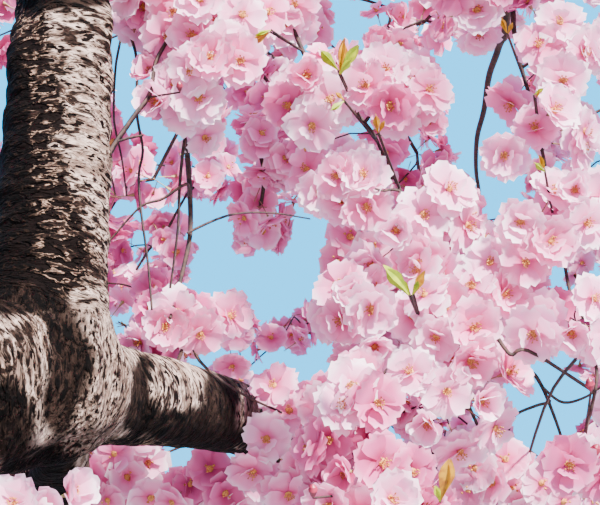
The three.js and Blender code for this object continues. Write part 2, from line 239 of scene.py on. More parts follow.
stems = {}
draws = {}
for name, mass in masses.items():
    limb = limbs[mass["on"]]
    habit = habits[mass["habit"]]
    draws[name] = stream(mass["seed"])
    root = pointAt(woodRoutes[mass["on"]], 1 - stemRoot / limb["length"])
    last = limb["azimuth"][1]
    stems[name] = route(root, (last, last), (limb["rise"][1], habit["droop"]), habit["reach"], stemSteps,
                        wander, draws[name])
    for _ in range(sprayDraws):
        draws[name]()


def clearOfView(spots, radius):
    # whether each spot is outside the space that the photograph looks through
    off = spots - knee - np.array(outlook["start"])
    way = heading(90, outlook["rise"])
    along = off @ way
    width = mix(outlook["near"], outlook["far"], np.maximum(along, 0) / outlook["length"])
    inside = (along > -outlook["near"]) & (along < outlook["length"])
    aside = np.linalg.norm(off - along[:, None] * way, axis=1)
    return ~(inside & (aside < width + radius))


def clearOfWood(spots, room):
    # whether each spot is at least this far from every limb
    fits = np.ones(len(spots), bool)
    for name, points in woodRoutes.items():
        gap, share = toLine(spots, points)
        fits &= gap > mix(*woodRadii[name], share) * (1 + collar["swell"]) + room
    return fits


def roomAt(spots, own, radius, margin):
    # whether each spot is in its mass's own space, clear of wood and of the outlook, and above the skirt
    mine = toLine(spots, stems[own])[0]
    fits = spots[:, 2] > skirtHeight
    for name in stems:
        if name != own:
            fits &= toLine(spots, stems[name])[0] > mine + margin
    return fits & clearOfWood(spots, radius + woodClearance) & clearOfView(spots, radius)


def sideRoutes(points, count, lengths, steps, draw):
    # side shoots leave a line in a spiral, rise a little and hang at their ends
    made = []
    for k in range(count):
        share = mix(sideTwigs["from"], sideTwigs["to"], (k + sideTwigs["spread"] * draw()) / count)
        azimuth = sideTwigs["turn"] * k + sideTwigs["turnSpread"] * draw()
        length = mix(*lengths, draw())
        out = mix(*sideTwigs["rise"], share) + sideTwigs["riseSpread"] * (draw() - 0.5)
        made.append(route(pointAt(points, share), (azimuth, azimuth), (out, sideTwigs["end"]), length, steps,
                          wander, draw))
    return made


def fittingParts(lines, own, radius, margin, triesPerStep):
    # the part of each line that stays in its mass's space, where enough of it does
    if not lines:
        return []
    steps = len(lines[0]) - 1
    tries = triesPerStep * steps
    spots = np.array([pointAt(line, (i + 1) / tries) for line in lines for i in range(tries)])
    fits = roomAt(spots, own, radius, margin).reshape(len(lines), tries)
    shares = np.cumprod(fits, axis=1).sum(axis=1) / tries
    return [np.array([pointAt(line, share * k / steps) for k in range(steps + 1)])
            for line, share in zip(lines, shares) if share >= sideTwigs["least"]]


# the rings of a stem and of a twig, and their radii as shares of the source's; tipRadius is in metres
stemTubes = {"rings": 22, "root": 0.97, "tip": 0.5}
twigTubes = {"rings": 9, "root": 0.8, "tipRadius": 0.0014}
# the finer shoots that the source leaves out: one on every so many metres of stem and twig
shoots = {"onStem": 0.05, "onTwig": 0.07, "stemLength": (0.14, 0.36), "twigLength": (0.13, 0.3),
          "steps": 3, "girth": 0.0017, "tip": 0.0009, "margin": 0.0, "tries": 3, "seed": 100}
# a bunch of flowers on every so many metres of line; each takes its way from the line just before it
bunches = {"onStem": 0.085, "onTwig": 0.075, "onShoot": 0.062, "from": 0.12, "first": 0.4, "jitter": 0.6,
           "before": 0.05}

lines = []
spots = []


def addBunches(points, every, draw):
    count = max(1, round(lengthOf(points) / every))
    for k in range(count):
        share = mix(bunches["from"], 1, (k + bunches["first"] + bunches["jitter"] * draw()) / count)
        way = pointAt(points, share) - pointAt(points, share - bunches["before"])
        spots.append({"at": pointAt(points, share), "way": way / np.linalg.norm(way)})


for name, mass in masses.items():
    habit = habits[mass["habit"]]
    stem = stems[name]
    tip = limbs[mass["on"]]["radii"][1]
    if mass["habit"] == "hanging":  # these two hang in the view, so their sprays are placed below
        continue
    lines.append({"points": smooth(stem, stemTubes["rings"]),
                  "girth": (tip * stemTubes["root"], habit["girth"][0] * stemTubes["tip"])})
    twigs = sideRoutes(stem, habit["twigs"], habit["twig"], twigSteps, draws[name])
    twigs = fittingParts(twigs, name, habit["girth"][1], spaceClearance, sideTwigs["tries"])
    draw = stream(mass["seed"] + shoots["seed"])
    finer = sideRoutes(stem, round(habit["reach"] / shoots["onStem"]), shoots["stemLength"],
                       shoots["steps"], draw)
    for twig in twigs:
        lines.append({"points": smooth(twig, twigTubes["rings"]),
                      "girth": (habit["girth"][1] * twigTubes["root"], twigTubes["tipRadius"])})
        addBunches(twig, bunches["onTwig"], draw)
        finer += sideRoutes(twig, round(lengthOf(twig) / shoots["onTwig"]), shoots["twigLength"],
                            shoots["steps"], draw)
    addBunches(stem, bunches["onStem"], draw)
    for shoot in fittingParts(finer, name, shoots["girth"], shoots["margin"], shoots["tries"]):
        lines.append({"points": shoot, "girth": (shoots["girth"], shoots["tip"])})
        addBunches(shoot, bunches["onShoot"], draw)
report(f"grown {len(lines)} shoots and {len(spots)} bunches")

# the photograph's view

# the camera stands under the crown, a little off the knee, and looks up along +Y
camera = {"lens": 87, "sensor": 36, "frame": (600, 505), "middle": (300, 252), "margin": 45, "clip": 0.05}
eye = knee + np.array(outlook["start"])
focal = camera["lens"] / camera["sensor"] * camera["frame"][0]
gaze = heading(90, outlook["rise"])
upward = heading(90, outlook["rise"] + 90)
rightward = np.array([1.0, 0.0, 0.0])


def pixels(p):
    # where points fall in the photograph's frame, and how far off they are
    off = np.atleast_2d(p) - eye
    depth = off @ gaze
    safe = np.where(np.abs(depth) < 1e-6, 1e-6, depth)
    across = camera["frame"][0] / 2 + focal * (off @ rightward) / safe
    down = camera["frame"][1] / 2 - focal * (off @ upward) / safe
    return across, down, depth


def spotAt(across, down, depth):
    side = (across - camera["frame"][0] / 2) / focal * depth
    rise = (camera["frame"][1] / 2 - down) / focal * depth
    return eye + gaze * depth + rightward * side + upward * rise


# the gaps where the photograph shows sky: centre across and down, half width, half height
skyGaps = {
    "open_left": (213, 250, 20, 50), "open_middle": (275, 277, 55, 26), "open_right": (322, 235, 24, 28),
    "beside_leader": (8, 105, 12, 40), "between_twigs": (125, 85, 12, 40), "under_sprays": (160, 138, 12, 14),
    "top_middle": (347, 22, 20, 22), "column_high": (500, 62, 30, 22), "column_low": (478, 120, 24, 34),
    "column_foot": (490, 195, 18, 18), "top_right": (582, 15, 20, 22), "right_edge": (595, 80, 8, 16),
    "small_right": (552, 283, 15, 14), "low_right": (545, 405, 36, 46), "over_bough": (300, 374, 40, 16),
    "bough_top": (208, 358, 12, 12), "under_bough": (182, 455, 20, 20), "under_knee": (14, 478, 14, 9),
    "corner": (595, 484, 8, 12), "left_of_inner": (352, 130, 12, 14),
}
# how far off the rule's own blossom starts in the view, and how much a gap grows with what is put beside it
nearest = {"ruleFrom": 1.3, "gapGrowth": 0.35}


def inFrame(across, down, depth):
    # whether points before the camera fall in the frame or just beside it
    fits = depth > camera["clip"]
    for place, middle in zip((across, down), camera["middle"]):
        fits = fits & (np.abs(place - middle) < middle + camera["margin"])
    return fits


def inGap(across, down, size):
    found = np.zeros(len(across), bool)
    for x, y, halfWidth, halfHeight in skyGaps.values():
        reachX = halfWidth + nearest["gapGrowth"] * size
        reachY = halfHeight + nearest["gapGrowth"] * size
        found |= ((across - x) / reachX) ** 2 + ((down - y) / reachY) ** 2 < 1
    return found


# bunches nearer than the rule's own, each flower's centre where the photograph has it: across, down
sprays = {
    "outer_top": {"on": "stem_outer", "depth": 1.12, "flowers": (
        (477, 10), (452, -10), (500, -14), (470, -32))},
    "outer_second": {"on": "stem_outer", "depth": 1.09, "flowers": (
        (539, 45), (583, 53), (563, 80), (560, 22))},
    "outer_third": {"on": "stem_outer", "depth": 1.07, "flowers": ((535, 128), (505, 155), (552, 112))},
    "outer_fourth": {"on": "stem_outer", "depth": 1.05, "flowers": ((575, 190), (587, 223), (604, 196))},
    "outer_fifth": {"on": "stem_outer", "depth": 1.03, "flowers": ((551, 241), (526, 262), (520, 222))},
    "outer_sixth": {"on": "stem_outer", "depth": 1.01, "flowers": (
        (535, 332), (571, 332), (595, 298), (606, 340))},
    "outer_last": {"on": "stem_outer", "depth": 0.98, "flowers": ((569, 464), (587, 468), (604, 476))},
    "inner_top": {"on": "stem_inner", "depth": 1.09, "flowers": (
        (367, 86), (390, 104), (411, 82), (429, 90), (386, 70))},
    "inner_left": {"on": "stem_inner", "depth": 1.1, "flowers": (
        (307, 76), (288, 105), (312, 125), (330, 100))},
    "inner_second": {"on": "stem_inner", "depth": 1.07, "flowers": (
        (364, 175), (343, 201), (366, 206), (336, 176))},
    "inner_third": {"on": "stem_inner", "depth": 1.06, "flowers": (
        (422, 215), (447, 190), (422, 260), (396, 230))},
    "inner_fourth": {"on": "stem_inner", "depth": 1.04, "flowers": (
        (472, 286), (504, 294), (447, 305), (490, 262))},
    "inner_fifth": {"on": "stem_inner", "depth": 1.04, "flowers": (
        (372, 308), (342, 320), (374, 345), (412, 316), (352, 292))},
    "inner_sixth": {"on": "stem_inner", "depth": 1.02, "flowers": (
        (436, 337), (472, 327), (469, 359), (424, 294))},
    "inner_seventh": {"on": "stem_inner", "depth": 1.0, "flowers": (
        (376, 403), (341, 406), (329, 440), (352, 386))},
    "inner_eighth": {"on": "stem_inner", "depth": 0.98, "flowers": ((381, 462), (413, 472), (346, 473))},
    "inner_ninth": {"on": "stem_inner", "depth": 1.0, "flowers": (
        (447, 391), (428, 423), (482, 401), (410, 372))},
    "inner_last": {"on": "stem_inner", "depth": 0.97, "flowers": (
        (390, 499), (330, 506), (425, 508), (362, 512))},
    "behind_inner": {"on": "stem_inner", "depth": 1.2, "flowers": (
        (373, 246), (350, 238), (338, 262), (400, 268))},
    "leader_first": {"on": "twig_leader", "depth": 1.12, "flowers": (
        (145, 7), (172, 12), (166, 36), (150, -20), (128, -4))},
    "leader_second": {"on": "twig_leader", "depth": 1.11, "flowers": (
        (194, 34), (216, 22), (200, 0), (242, 15), (222, -12))},
    "leader_third": {"on": "twig_hanging", "depth": 1.09, "flowers": (
        (211, 57), (240, 61), (192, 70), (228, 40))},
    "leader_fourth": {"on": "twig_hanging", "depth": 1.11, "flowers": (
        (158, 104), (185, 110), (199, 98), (174, 84))},
    "beside": {"on": "twig_hanging", "depth": 1.16, "flowers": ((295, 4), (270, -8), (284, 22))},
    "over_bough": {"on": "twig_hanging", "depth": 1.13, "flowers": (
        (193, 314), (200, 333), (166, 326), (176, 312))},
    "bough_end": {"on": "bough_back_right", "depth": 1.16, "flowers": (
        (290, 412), (268, 438), (301, 462), (288, 492), (312, 432), (254, 470), (274, 386))},
    "under_bough": {"on": "bough_back_right", "depth": 1.34, "flowers": (
        (142, 440), (115, 454), (95, 477), (127, 477), (108, 500), (150, 496))},
    "under_bough_end": {"on": "bough_back_right", "depth": 1.3, "flowers": (
        (210, 470), (224, 492), (256, 483), (191, 484), (172, 502), (240, 506))},
    "low_right": {"on": "stem_outer", "depth": 1.24, "flowers": (
        (494, 483), (468, 489), (512, 489), (477, 468), (506, 461), (540, 482), (562, 500), (590, 500),
        (524, 508))},
    "corner": {"on": "limb_right", "depth": 0.93, "flowers": ((14, 503), (44, 508), (28, 522))},
}
# bare twigs in the view, from their limb on: across and down, with the depth and radius at both ends.
# sharpness says how fast the radius falls off
viewTwigs = {
    "stem_outer": {"from": "spur_outer", "depth": (1.19, 1.01), "girth": (0.0058, 0.0014), "sharpness": 7,
        "path": ((462, -170), (490, -80), (511, 0), (514, 30), (521, 66), (530, 98), (538, 132), (545, 165),
                 (551, 202), (557, 236), (564, 262), (569, 288), (577, 320), (588, 348), (597, 372),
                 (592, 406), (586, 430), (584, 452))},
    "stem_inner": {"from": "spur_inner", "depth": (1.19, 1.05), "girth": (0.0058, 0.0013), "sharpness": 7,
        "path": ((262, -130), (282, -60), (290, 0), (298, 40), (318, 76), (345, 99), (358, 115), (373, 133),
                 (381, 150), (394, 177), (401, 193), (412, 240), (420, 300), (424, 360), (428, 420),
                 (436, 470), (444, 532))},
    "twig_leader": {"from": "leader", "depth": (1.07, 1.13), "girth": (0.0026, 0.0014), "path": (
        (102, 159), (116, 141), (135, 114), (150, 93), (156, 61), (176, 26), (196, -6))},
    "twig_leader_side": {"from": "twig_leader", "depth": (1.08, 1.1), "girth": (0.0014, 0.001), "path": (
        (117, 141), (128, 138), (143, 135))},
    "twig_thin_first": {"from": "bough_right", "depth": (1.2, 1.1), "girth": (0.0016, 0.0009), "path": (
        (124, -180), (126, 0), (130, 31), (137, 61), (137, 113), (143, 149), (139, 174), (141, 210),
        (148, 262), (152, 310))},
    "twig_thin_second": {"from": "bough_right", "depth": (1.22, 1.14), "girth": (0.0014, 0.0008),
        "path": ((118, -180), (124, 0), (116, 66), (114, 110), (116, 131), (122, 158), (127, 196))},
    "twig_hanging": {"from": "bough_right", "depth": (1.22, 1.12), "girth": (0.0034, 0.0013), "path": (
        (214, -220), (204, -60), (190, 40), (184, 110), (187, 150), (190, 195), (190, 235), (183, 270),
        (175, 300), (170, 318))},
    "twig_hanging_side": {"from": "twig_hanging", "depth": (1.13, 1.12), "girth": (0.0015, 0.0008),
        "path": ((186, 184), (162, 199), (140, 207), (110, 240))},
    "twig_hanging_twin": {"from": "twig_hanging", "depth": (1.14, 1.13), "girth": (0.0018, 0.0009),
        "path": ((185, 140), (180, 185), (178, 230), (170, 292))},
    "twig_across": {"from": "twig_hanging", "depth": (1.14, 1.4), "girth": (0.0013, 0.0008), "path": (
        (191, 231), (230, 215), (270, 213), (310, 219))},
    "twig_over_bough": {"from": "bough_back_right", "depth": (1.13, 1.16), "girth": (0.0018, 0.001),
        "path": ((185, 345), (200, 362), (215, 376), (245, 396), (282, 413))},
    "twig_column": {"from": "bough_right", "depth": (1.3, 1.9), "girth": (0.0042, 0.0022), "path": (
        (520, -300), (508, 0), (499, 46), (489, 76), (484, 110), (477, 138), (476, 170), (479, 200),
        (470, 232))},
    "twig_column_side": {"from": "twig_column", "depth": (1.88, 1.9), "girth": (0.0014, 0.001), "path": (
        (478, 222), (500, 218), (524, 213))},
    "twig_low": {"from": "bough_right_low", "depth": (1.48, 1.44), "girth": (0.003, 0.0014), "path": (
        (514, 352), (525, 372), (534, 374), (542, 386), (549, 402), (560, 432), (568, 462))},
    "twig_low_side": {"from": "twig_low", "depth": (1.45, 1.46), "girth": (0.002, 0.0014), "path": (
        (549, 402), (534, 406), (514, 416), (508, 436), (512, 470))},
    "twig_low_right": {"from": "twig_low", "depth": (1.46, 1.5), "girth": (0.002, 0.0012), "path": (
        (542, 386), (562, 402), (584, 398), (606, 384))},
    "stub_inner": {"from": "stem_inner", "depth": (1.06, 1.05), "girth": (0.0013, 0.0009), "path": (
        (400, 192), (391, 190), (383, 191), (375, 189))},
    "stub_right": {"from": "stem_outer", "depth": (1.0, 1.0), "girth": (0.0014, 0.0016), "path": (
        (530, 352), (512, 355), (504, 348), (498, 339))},
}
# what a twig or a spray can start on: each limb and stem as a fine row of points
hostPoints = 40
hosts = {name: smooth(points, hostPoints) for name, points in (woodRoutes | stems).items()}


def nearestOn(host, spot):
    points = hosts[host]
    return points[np.argmin(np.linalg.norm(points - spot, axis=1))]


def tapered(girth, count, sharpness=1):
    return girth[1] + (girth[0] - girth[1]) * (1 - np.linspace(0, 1, count)) ** sharpness


for name, twig in viewTwigs.items():
    depths = np.linspace(*twig["depth"], len(twig["path"]))
    path = [spotAt(*p, depth) for p, depth in zip(twig["path"], depths)]
    first = hosts[twig["from"]][-1] if twig["from"].startswith("spur") else nearestOn(twig["from"], path[0])
    points = np.array([first] + path)
    hosts[name] = smooth(points, 4 * len(points))
    lines.append({"points": hosts[name], "girth": twig["girth"],
                  "girths": tapered(twig["girth"], len(hosts[name]), twig.get("sharpness", 1))})

# flowers, leaves and buds, placed

# how many flowers a bunch of the rule has, and the colour classes that whole bunches are dealt
flowering = {"perBunch": 2.9, "perBunchInView": 6, "seed": 5, "downward": 0.3, "alongShare": 0.5,
             "strays": 0.16, "spread": 0.004, "openInstead": 0.6, "tones": ("pale", "pink", "deep"),
             "toneShares": (0.46, 0.38, 0.16)}
# the length of a flower stalk, and the sizes that each level of detail takes
flowerStalk = 0.024
levels = {
    "near": {"within": 1.18, "sizes": (0.87, 1.05)},
    "mid": {"within": 3.4, "sizes": (0.95, 1.15)},
    "far": {"within": 1e9, "sizes": (1.3, 1.55)},
}
# a placed spray: its hub lies behind its flowers, and more flowers fill it in behind them
placedSpray = {"hubBehind": 0.034, "sag": 0.08, "rings": 8, "lean": 0.5, "leanPixels": 40, "jitter": 0.16,
               "depthJitter": 0.01, "twigGirth": (0.0016, 0.0011), "stalkGirth": (0.0007, 0.0006),
               "stalkBow": 0.004, "toneShares": (0.6, 0.34, 0.06), "deepShadedShares": (0.2, 0.35, 0.45)}
sprayFill = {"share": 1.6, "behind": (0.012, 0.06), "reach": 13, "limit": 1.7, "lean": 1.7, "gapRoom": 30,
             "woodRoom": 0.018}
# sprays under the bough and low in the view, given deeper pinks: partly the flowers' own deeper tone, partly
# painted shade
deepShadedSprays = ("under_bough", "under_bough_end", "over_bough", "outer_last", "inner_seventh", "inner_eighth",
              "inner_last")

rng = np.random.RandomState(flowering["seed"])
flowers = []
leafSpots = []
budSpots = []


def unit(v):
    return v / np.linalg.norm(v, axis=-1, keepdims=True)


def addFlower(base, aim, tone, level):
    flowers.append({"at": base, "aim": aim, "tone": tone, "level": level})


def placeSpray(name, spray):
    placed = np.array(spray["flowers"], float)
    centre = placed.mean(axis=0)
    hub = spotAt(*centre, spray["depth"] + placedSpray["hubBehind"])
    root = nearestOn(spray["on"], hub)
    sag = (root + hub) / 2 + np.array([0, 0, placedSpray["sag"] * np.linalg.norm(hub - root)])
    lines.append({"points": smooth(np.array([root, sag, hub]), placedSpray["rings"]),
                  "girth": placedSpray["twigGirth"]})
    count = round(len(placed) * sprayFill["share"])
    spread = placed.std(axis=0) + sprayFill["reach"]
    fill = centre + np.clip(rng.normal(size=(count, 2)), -sprayFill["limit"], sprayFill["limit"]) * spread
    depths = np.concatenate([spray["depth"] + placedSpray["depthJitter"] * rng.uniform(-1, 1, len(placed)),
                             spray["depth"] + rng.uniform(*sprayFill["behind"], count)])
    everyOne = np.vstack([placed, fill])
    gap = inGap(everyOne[:, 0], everyOne[:, 1], sprayFill["gapRoom"])
    heads = np.array([spotAt(across, down, depth) for (across, down), depth in zip(everyOne, depths)])
    clear = clearOfWood(heads, sprayFill["woodRoom"])
    shares = placedSpray["deepShadedShares" if name in deepShadedSprays else "toneShares"]
    level = "near" if spray["depth"] < levels["near"]["within"] else "mid"
    for i, head in enumerate(heads):
        filler = i >= len(placed)
        if filler and gap[i]:
            continue
        off = (everyOne[i] - centre) / placedSpray["leanPixels"]
        lean = rightward * off[0] - upward * off[1]
        wide = placedSpray["lean"] * (sprayFill["lean"] if filler else 1)
        aim = unit(-gaze + wide * lean + placedSpray["jitter"] * rng.normal(size=3))
        base = head - flowerStalk * aim
        tone = rng.choice(flowering["tones"], p=shares)
        if filler and not clear[i]:
            continue
        addFlower(base, aim, tone, level)
        bow = (hub + base) / 2 - placedSpray["stalkBow"] * aim
        lines.append({"points": np.array([hub, bow, base]), "girth": placedSpray["stalkGirth"]})


for name, spray in sprays.items():
    placeSpray(name, spray)
placedCount = len(flowers)

# the bare boughs flower too, on short shoots from this share of each to its tip
boughShoots = {"every": 0.055, "length": (0.07, 0.24), "steps": 3, "seed": 400, "bare": 0.12,
               "bareOn": {"leader": 0.5, "limb_left": 0.4, "limb_front": 0.4, "bough_back_right": 0.62,
                          "bough_back": 0.5},
               "notOn": ("limb_right", "spur_outer", "spur_inner"), "pieces": 6}
for number, name in enumerate(limbs):
    if name in boughShoots["notOn"]:
        continue
    draw = stream(boughShoots["seed"] + number)
    bare = boughShoots["bareOn"].get(name, boughShoots["bare"])
    shares = [mix(bare, 1, k / boughShoots["pieces"]) for k in range(boughShoots["pieces"] + 1)]
    part = np.array([pointAt(woodRoutes[name], share) for share in shares])
    for shoot in sideRoutes(part, round(lengthOf(part) / boughShoots["every"]), boughShoots["length"],
                            boughShoots["steps"], draw):
        across, down, depth = pixels(shoot)
        blocks = (depth < nearest["ruleFrom"]) | inGap(across, down, 0)
        blocks &= inFrame(across, down, depth)
        if clearOfView(shoot, shoots["girth"]).all() and not blocks.any():
            lines.append({"points": shoot, "girth": (shoots["girth"], shoots["tip"])})
            addBunches(shoot, bunches["onShoot"], draw)
report(f"{len(lines)} shoots and {len(spots)} bunches with those on the boughs")

# the rule's bunches: those that would stand before the limbs or in the sky's gaps are left out
bunchAt = np.array([s["at"] for s in spots])
bunchWay = np.array([s["way"] for s in spots])
across, down, depth = pixels(bunchAt)
# how wide a bunch and a flower are taken to be at a gap, and how far inside the source's box a bunch stays
fitting = {"bunch": 0.045, "flower": 0.03, "leastDepth": 0.3, "boxRoom": 0.05}
framed = inFrame(across, down, depth)
tooNear = framed & (depth < nearest["ruleFrom"])
hidden = framed & inGap(across, down, focal * fitting["bunch"] / np.maximum(depth, fitting["leastDepth"]))
low = np.array(cadBox[0]) + fitting["boxRoom"]
high = np.array(cadBox[1]) - fitting["boxRoom"]
outside = ((bunchAt < low) | (bunchAt > high)).any(axis=1)
outside &= bunchAt[:, 2] > 0


def addBunch(spot, way, count, tone, level):
    for _ in range(int(count + rng.rand())):
        aim = rng.normal(size=3)
        aim -= flowering["alongShare"] * (aim @ way) * way
        aim = unit(aim + np.array([0, 0, -flowering["downward"]]))
        stray = rng.rand() < flowering["strays"]
        base = spot + flowering["spread"] * rng.normal(size=3)
        if level == "mid":
            x, y, far = pixels(base + flowerStalk * aim)
            if inGap(x, y, focal * fitting["flower"] / far[0])[0]:
                continue
        addFlower(base, aim, rng.choice(flowering["tones"]) if stray else tone, level)


# the share of bunches that have a tuft of young leaves or a bud, and how far those look up or down
tufts = {"leaves": 0.1, "green": 0.6, "up": 0.6, "buds": 0.08, "down": 0.8}
for k in np.flatnonzero(~(tooNear | hidden | outside)):
    tone = rng.choice(flowering["tones"], p=flowering["toneShares"])
    seen = framed[k] and depth[k] < levels["mid"]["within"]
    addBunch(bunchAt[k], bunchWay[k], flowering["perBunchInView" if seen else "perBunch"], tone,
             "mid" if seen else "far")
    if rng.rand() < tufts["leaves"]:
        leafSpots.append({"at": bunchAt[k], "aim": unit(rng.normal(size=3) + np.array([0, 0, tufts["up"]])),
                          "kind": 0, "tone": "green" if rng.rand() < tufts["green"] else "bronze"})
    if rng.rand() < tufts["buds"]:
        budSpots.append({"at": bunchAt[k], "aim": unit(rng.normal(size=3) - np.array([0, 0, tufts["down"]])),
                         "kind": 0})
report(f"{placedCount} placed flowers, {len(flowers) - placedCount} by the rule")

# the blossom behind the knee, which fills the view between its gaps: spacing in pixels, depths in metres,
# added ones as across, down and depth
backdrop = {"spacing": 36, "across": (-60, 670), "down": (-70, 580), "jitter": 0.32, "depths": (1.46, 2.1),
            "perBunch": 5, "seed": 8, "woodRoom": 0.07, "gapRoom": 26,
            "added": ((258, 148, 1.5), (286, 152, 1.5), (306, 150, 1.5), (256, 222, 1.6), (282, 232, 1.6)),
            "toneShares": (0.62, 0.33, 0.05)}
# its twigs: the boughs that they start on outside the frame, what crossing a gap costs, and their girth,
# which grows with what they carry
backTwigs = {"wood": ("bough_right", "bough_upper_right", "bough_upper_back", "bough_back_right",
                      "bough_back", "bough_back_left", "bough_right_low"),
             "from": 0.6, "beside": 320, "over": 270, "below": 400, "gapCost": 4.0,
             "gapTests": (0.25, 0.5, 0.75), "gapFrom": 0.5, "bend": 0.1, "bendJitter": 0.004, "rings": 5,
             "girth": 0.0009, "thicken": 0.3, "thickest": 0.0021, "root": 1.08}
# where it is of another colour: centre across and down, half width, half height; the deep zones, such as the
# one under the bough, are partly painted shade and partly the flowers' own deeper tone
toneZones = {
    "deep": ((12, 30, 34, 50), (170, 470, 110, 44), (255, 110, 26, 30), (400, 130, 30, 40),
             (105, 180, 16, 60)),
    "pink": ((150, 190, 60, 90), (240, 130, 60, 60), (300, 310, 70, 40), (230, 340, 60, 40),
             (400, 30, 50, 40)),
}


def toneAt(across, down):
    for tone, zones in toneZones.items():
        for x, y, halfWidth, halfHeight in zones:
            if ((across - x) / halfWidth) ** 2 + ((down - y) / halfHeight) ** 2 < 1:
                return tone
    return rng.choice(flowering["tones"], p=backdrop["toneShares"])


def fillBackdrop():
    draw = np.random.RandomState(backdrop["seed"])
    spacing = backdrop["spacing"]
    places = np.array([(x + spacing / 2 * (row % 2), y)
                       for row, y in enumerate(np.arange(*backdrop["down"], spacing))
                       for x in np.arange(*backdrop["across"], spacing)], float)
    places += draw.normal(size=places.shape) * backdrop["jitter"] * spacing
    far = draw.uniform(*backdrop["depths"], len(places))
    added = np.array(backdrop["added"])
    places = np.vstack([places, added[:, :2]])
    far = np.concatenate([far, added[:, 2]])
    clear = ~inGap(places[:, 0], places[:, 1], backdrop["gapRoom"])
    clear[-len(added):] = True
    hubs = np.array([spotAt(x, y, d) for (x, y), d in zip(places, far)])
    for name, points in woodRoutes.items():
        clear &= toLine(hubs, points)[0] > woodRadii[name][0] + backdrop["woodRoom"]
    hubs = hubs[clear]
    places = places[clear]
    # every hub is joined to the nearest wood or hub that is joined already, round the gaps where it can be
    wood = np.vstack([hosts[name] for name in backTwigs["wood"]])
    x, y, d = pixels(wood)
    unseen = np.abs(x - camera["middle"][0]) > backTwigs["beside"]
    unseen |= np.abs(y - camera["middle"][1]) > backTwigs["over"]
    unseen |= y > backTwigs["below"]
    known = list(wood[(d > backTwigs["from"]) & unseen])
    parent = {}
    place = {}
    cost = np.full(len(hubs), 1e9)
    link = np.zeros(len(hubs), int)
    left = set(range(len(hubs)))

    def offer(index):
        ids = np.array(sorted(left))
        gapCost = np.zeros(len(ids))
        for share in backTwigs["gapTests"]:
            x, y, d = pixels(mix(known[index], hubs[ids], share))
            gapCost += inGap(x, y, 0) & (d > backTwigs["gapFrom"])
        price = np.linalg.norm(hubs[ids] - known[index], axis=1) * (1 + backTwigs["gapCost"] * gapCost)
        better = price < cost[ids]
        cost[ids[better]] = price[better]
        link[ids[better]] = index

    for index in range(len(known)):
        offer(index)
    order = []
    while left:
        k = min(left, key=lambda i: cost[i])
        left.remove(k)
        parent[k] = link[k]
        order.append(k)
        place[k] = len(known)
        known.append(hubs[k])
        if left:
            offer(place[k])
    load = {index: 1 for index in range(len(known))}
    for k in reversed(order):
        load[parent[k]] += load[place[k]]
    for k in order:
        start = known[parent[k]]
        end = hubs[k]
        bend = (start + end) / 2 + np.array([0, 0, backTwigs["bend"] * np.linalg.norm(end - start)])
        bend = bend + backTwigs["bendJitter"] * draw.normal(size=3)
        radius = min(backTwigs["girth"] * load[place[k]] ** backTwigs["thicken"], backTwigs["thickest"])
        lines.append({"points": smooth(np.array([start, bend, end]), backTwigs["rings"]),
                      "girth": (radius * backTwigs["root"], radius)})
        addBunch(end, unit(end - start), backdrop["perBunch"], toneAt(*places[k]), "mid")


fillBackdrop()
report(f"{len(flowers)} flowers with the backdrop")
for level in levels:
    print(level, sum(f["level"] == level for f in flowers))

# young leaves and buds where the photograph has them: foot and tip across and down, depth, twig, tone
viewLeaves = (
    ((409, 295), (388, 270), 0.94, "green"), ((411, 296), (398, 276), 0.945, "green"),
    ((414, 294), (425, 270), 0.94, "bronze"), ((412, 295), (419, 280), 0.935, "green"),
    ((340, 76), (344, 40), 1.07, "bronze"), ((341, 74), (359, 44), 1.07, "green"),
    ((339, 74), (352, 58), 1.065, "green"), ((338, 70), (322, 52), 1.09, "green"),
    ((344, 100), (335, 92), 1.06, "bronze"), ((344, 101), (330, 111), 1.06, "green"),
    ((270, 32), (250, 44), 1.1, "bronze"), ((271, 30), (256, 35), 1.1, "green"),
    ((507, 33), (502, 20), 1.06, "bronze"), ((508, 34), (512, 24), 1.06, "bronze"),
    ((534, 95), (544, 88), 1.04, "green"), ((536, 98), (540, 90), 1.04, "bronze"),
    ((545, 170), (538, 152), 1.03, "bronze"), ((545, 172), (536, 164), 1.03, "green"),
    ((441, 500), (449, 464), 0.96, "bronze"), ((440, 502), (436, 488), 0.96, "green"),
    ((378, 133), (376, 117), 1.05, "bronze"), ((379, 133), (384, 122), 1.05, "bronze"),
)
viewBuds = (((313, 498), (313, 484), 0.95), ((180, 92), (179, 82), 1.08), ((584, 456), (580, 446), 0.975),
            ((590, 458), (597, 447), 0.975), ((591, 392), (589, 377), 0.975), ((588, 452), (575, 458), 0.975))
# what they grow on, how much nearer their tips are, and the twig that joins them to it
viewStalk = {"on": ("stem_inner", "stem_outer", "twig_hanging", "twig_leader"), "nearer": 0.004, "rings": 4,
             "girth": (0.0011, 0.0008)}
for group, rows in ((leafSpots, viewLeaves), (budSpots, viewBuds)):
    for row in rows:
        foot = spotAt(*row[0], row[2])
        tip = spotAt(*row[1], row[2] - viewStalk["nearer"])
        group.append({"at": foot, "aim": unit(tip - foot), "kind": 1, "tone": row[-1],
                      "size": np.linalg.norm(tip - foot)})
        roots = [nearestOn(host, foot) for host in viewStalk["on"]]
        root = min(roots, key=lambda p: np.linalg.norm(p - foot))
        lines.append({"points": smooth(np.array([root, (root + foot) / 2, foot]), viewStalk["rings"]),
                      "girth": viewStalk["girth"]})

# what a flower is made of

# a petal: its sizes in metres, how its width runs from foot to rim, and where it starts beside the heart
flowerShape = {"petal": 0.0215, "width": 0.0185, "narrowing": (0.62, 0.38), "notch": 0.13, "seed": 3,
               "along": (0, 0.15, 0.45, 0.75, 0.92, 1), "widths": (0.16, 0.32, 0.8, 1, 0.9, 0.66),
               "foot": 0.0012, "ringStep": 0.0012}
# the plain petals of the far flowers: how many in each ring, how much wider, and how far they fold
farPetals = {"rings": (5, 2), "wider": 1.15, "fold": 0.002, "widest": 0.72}
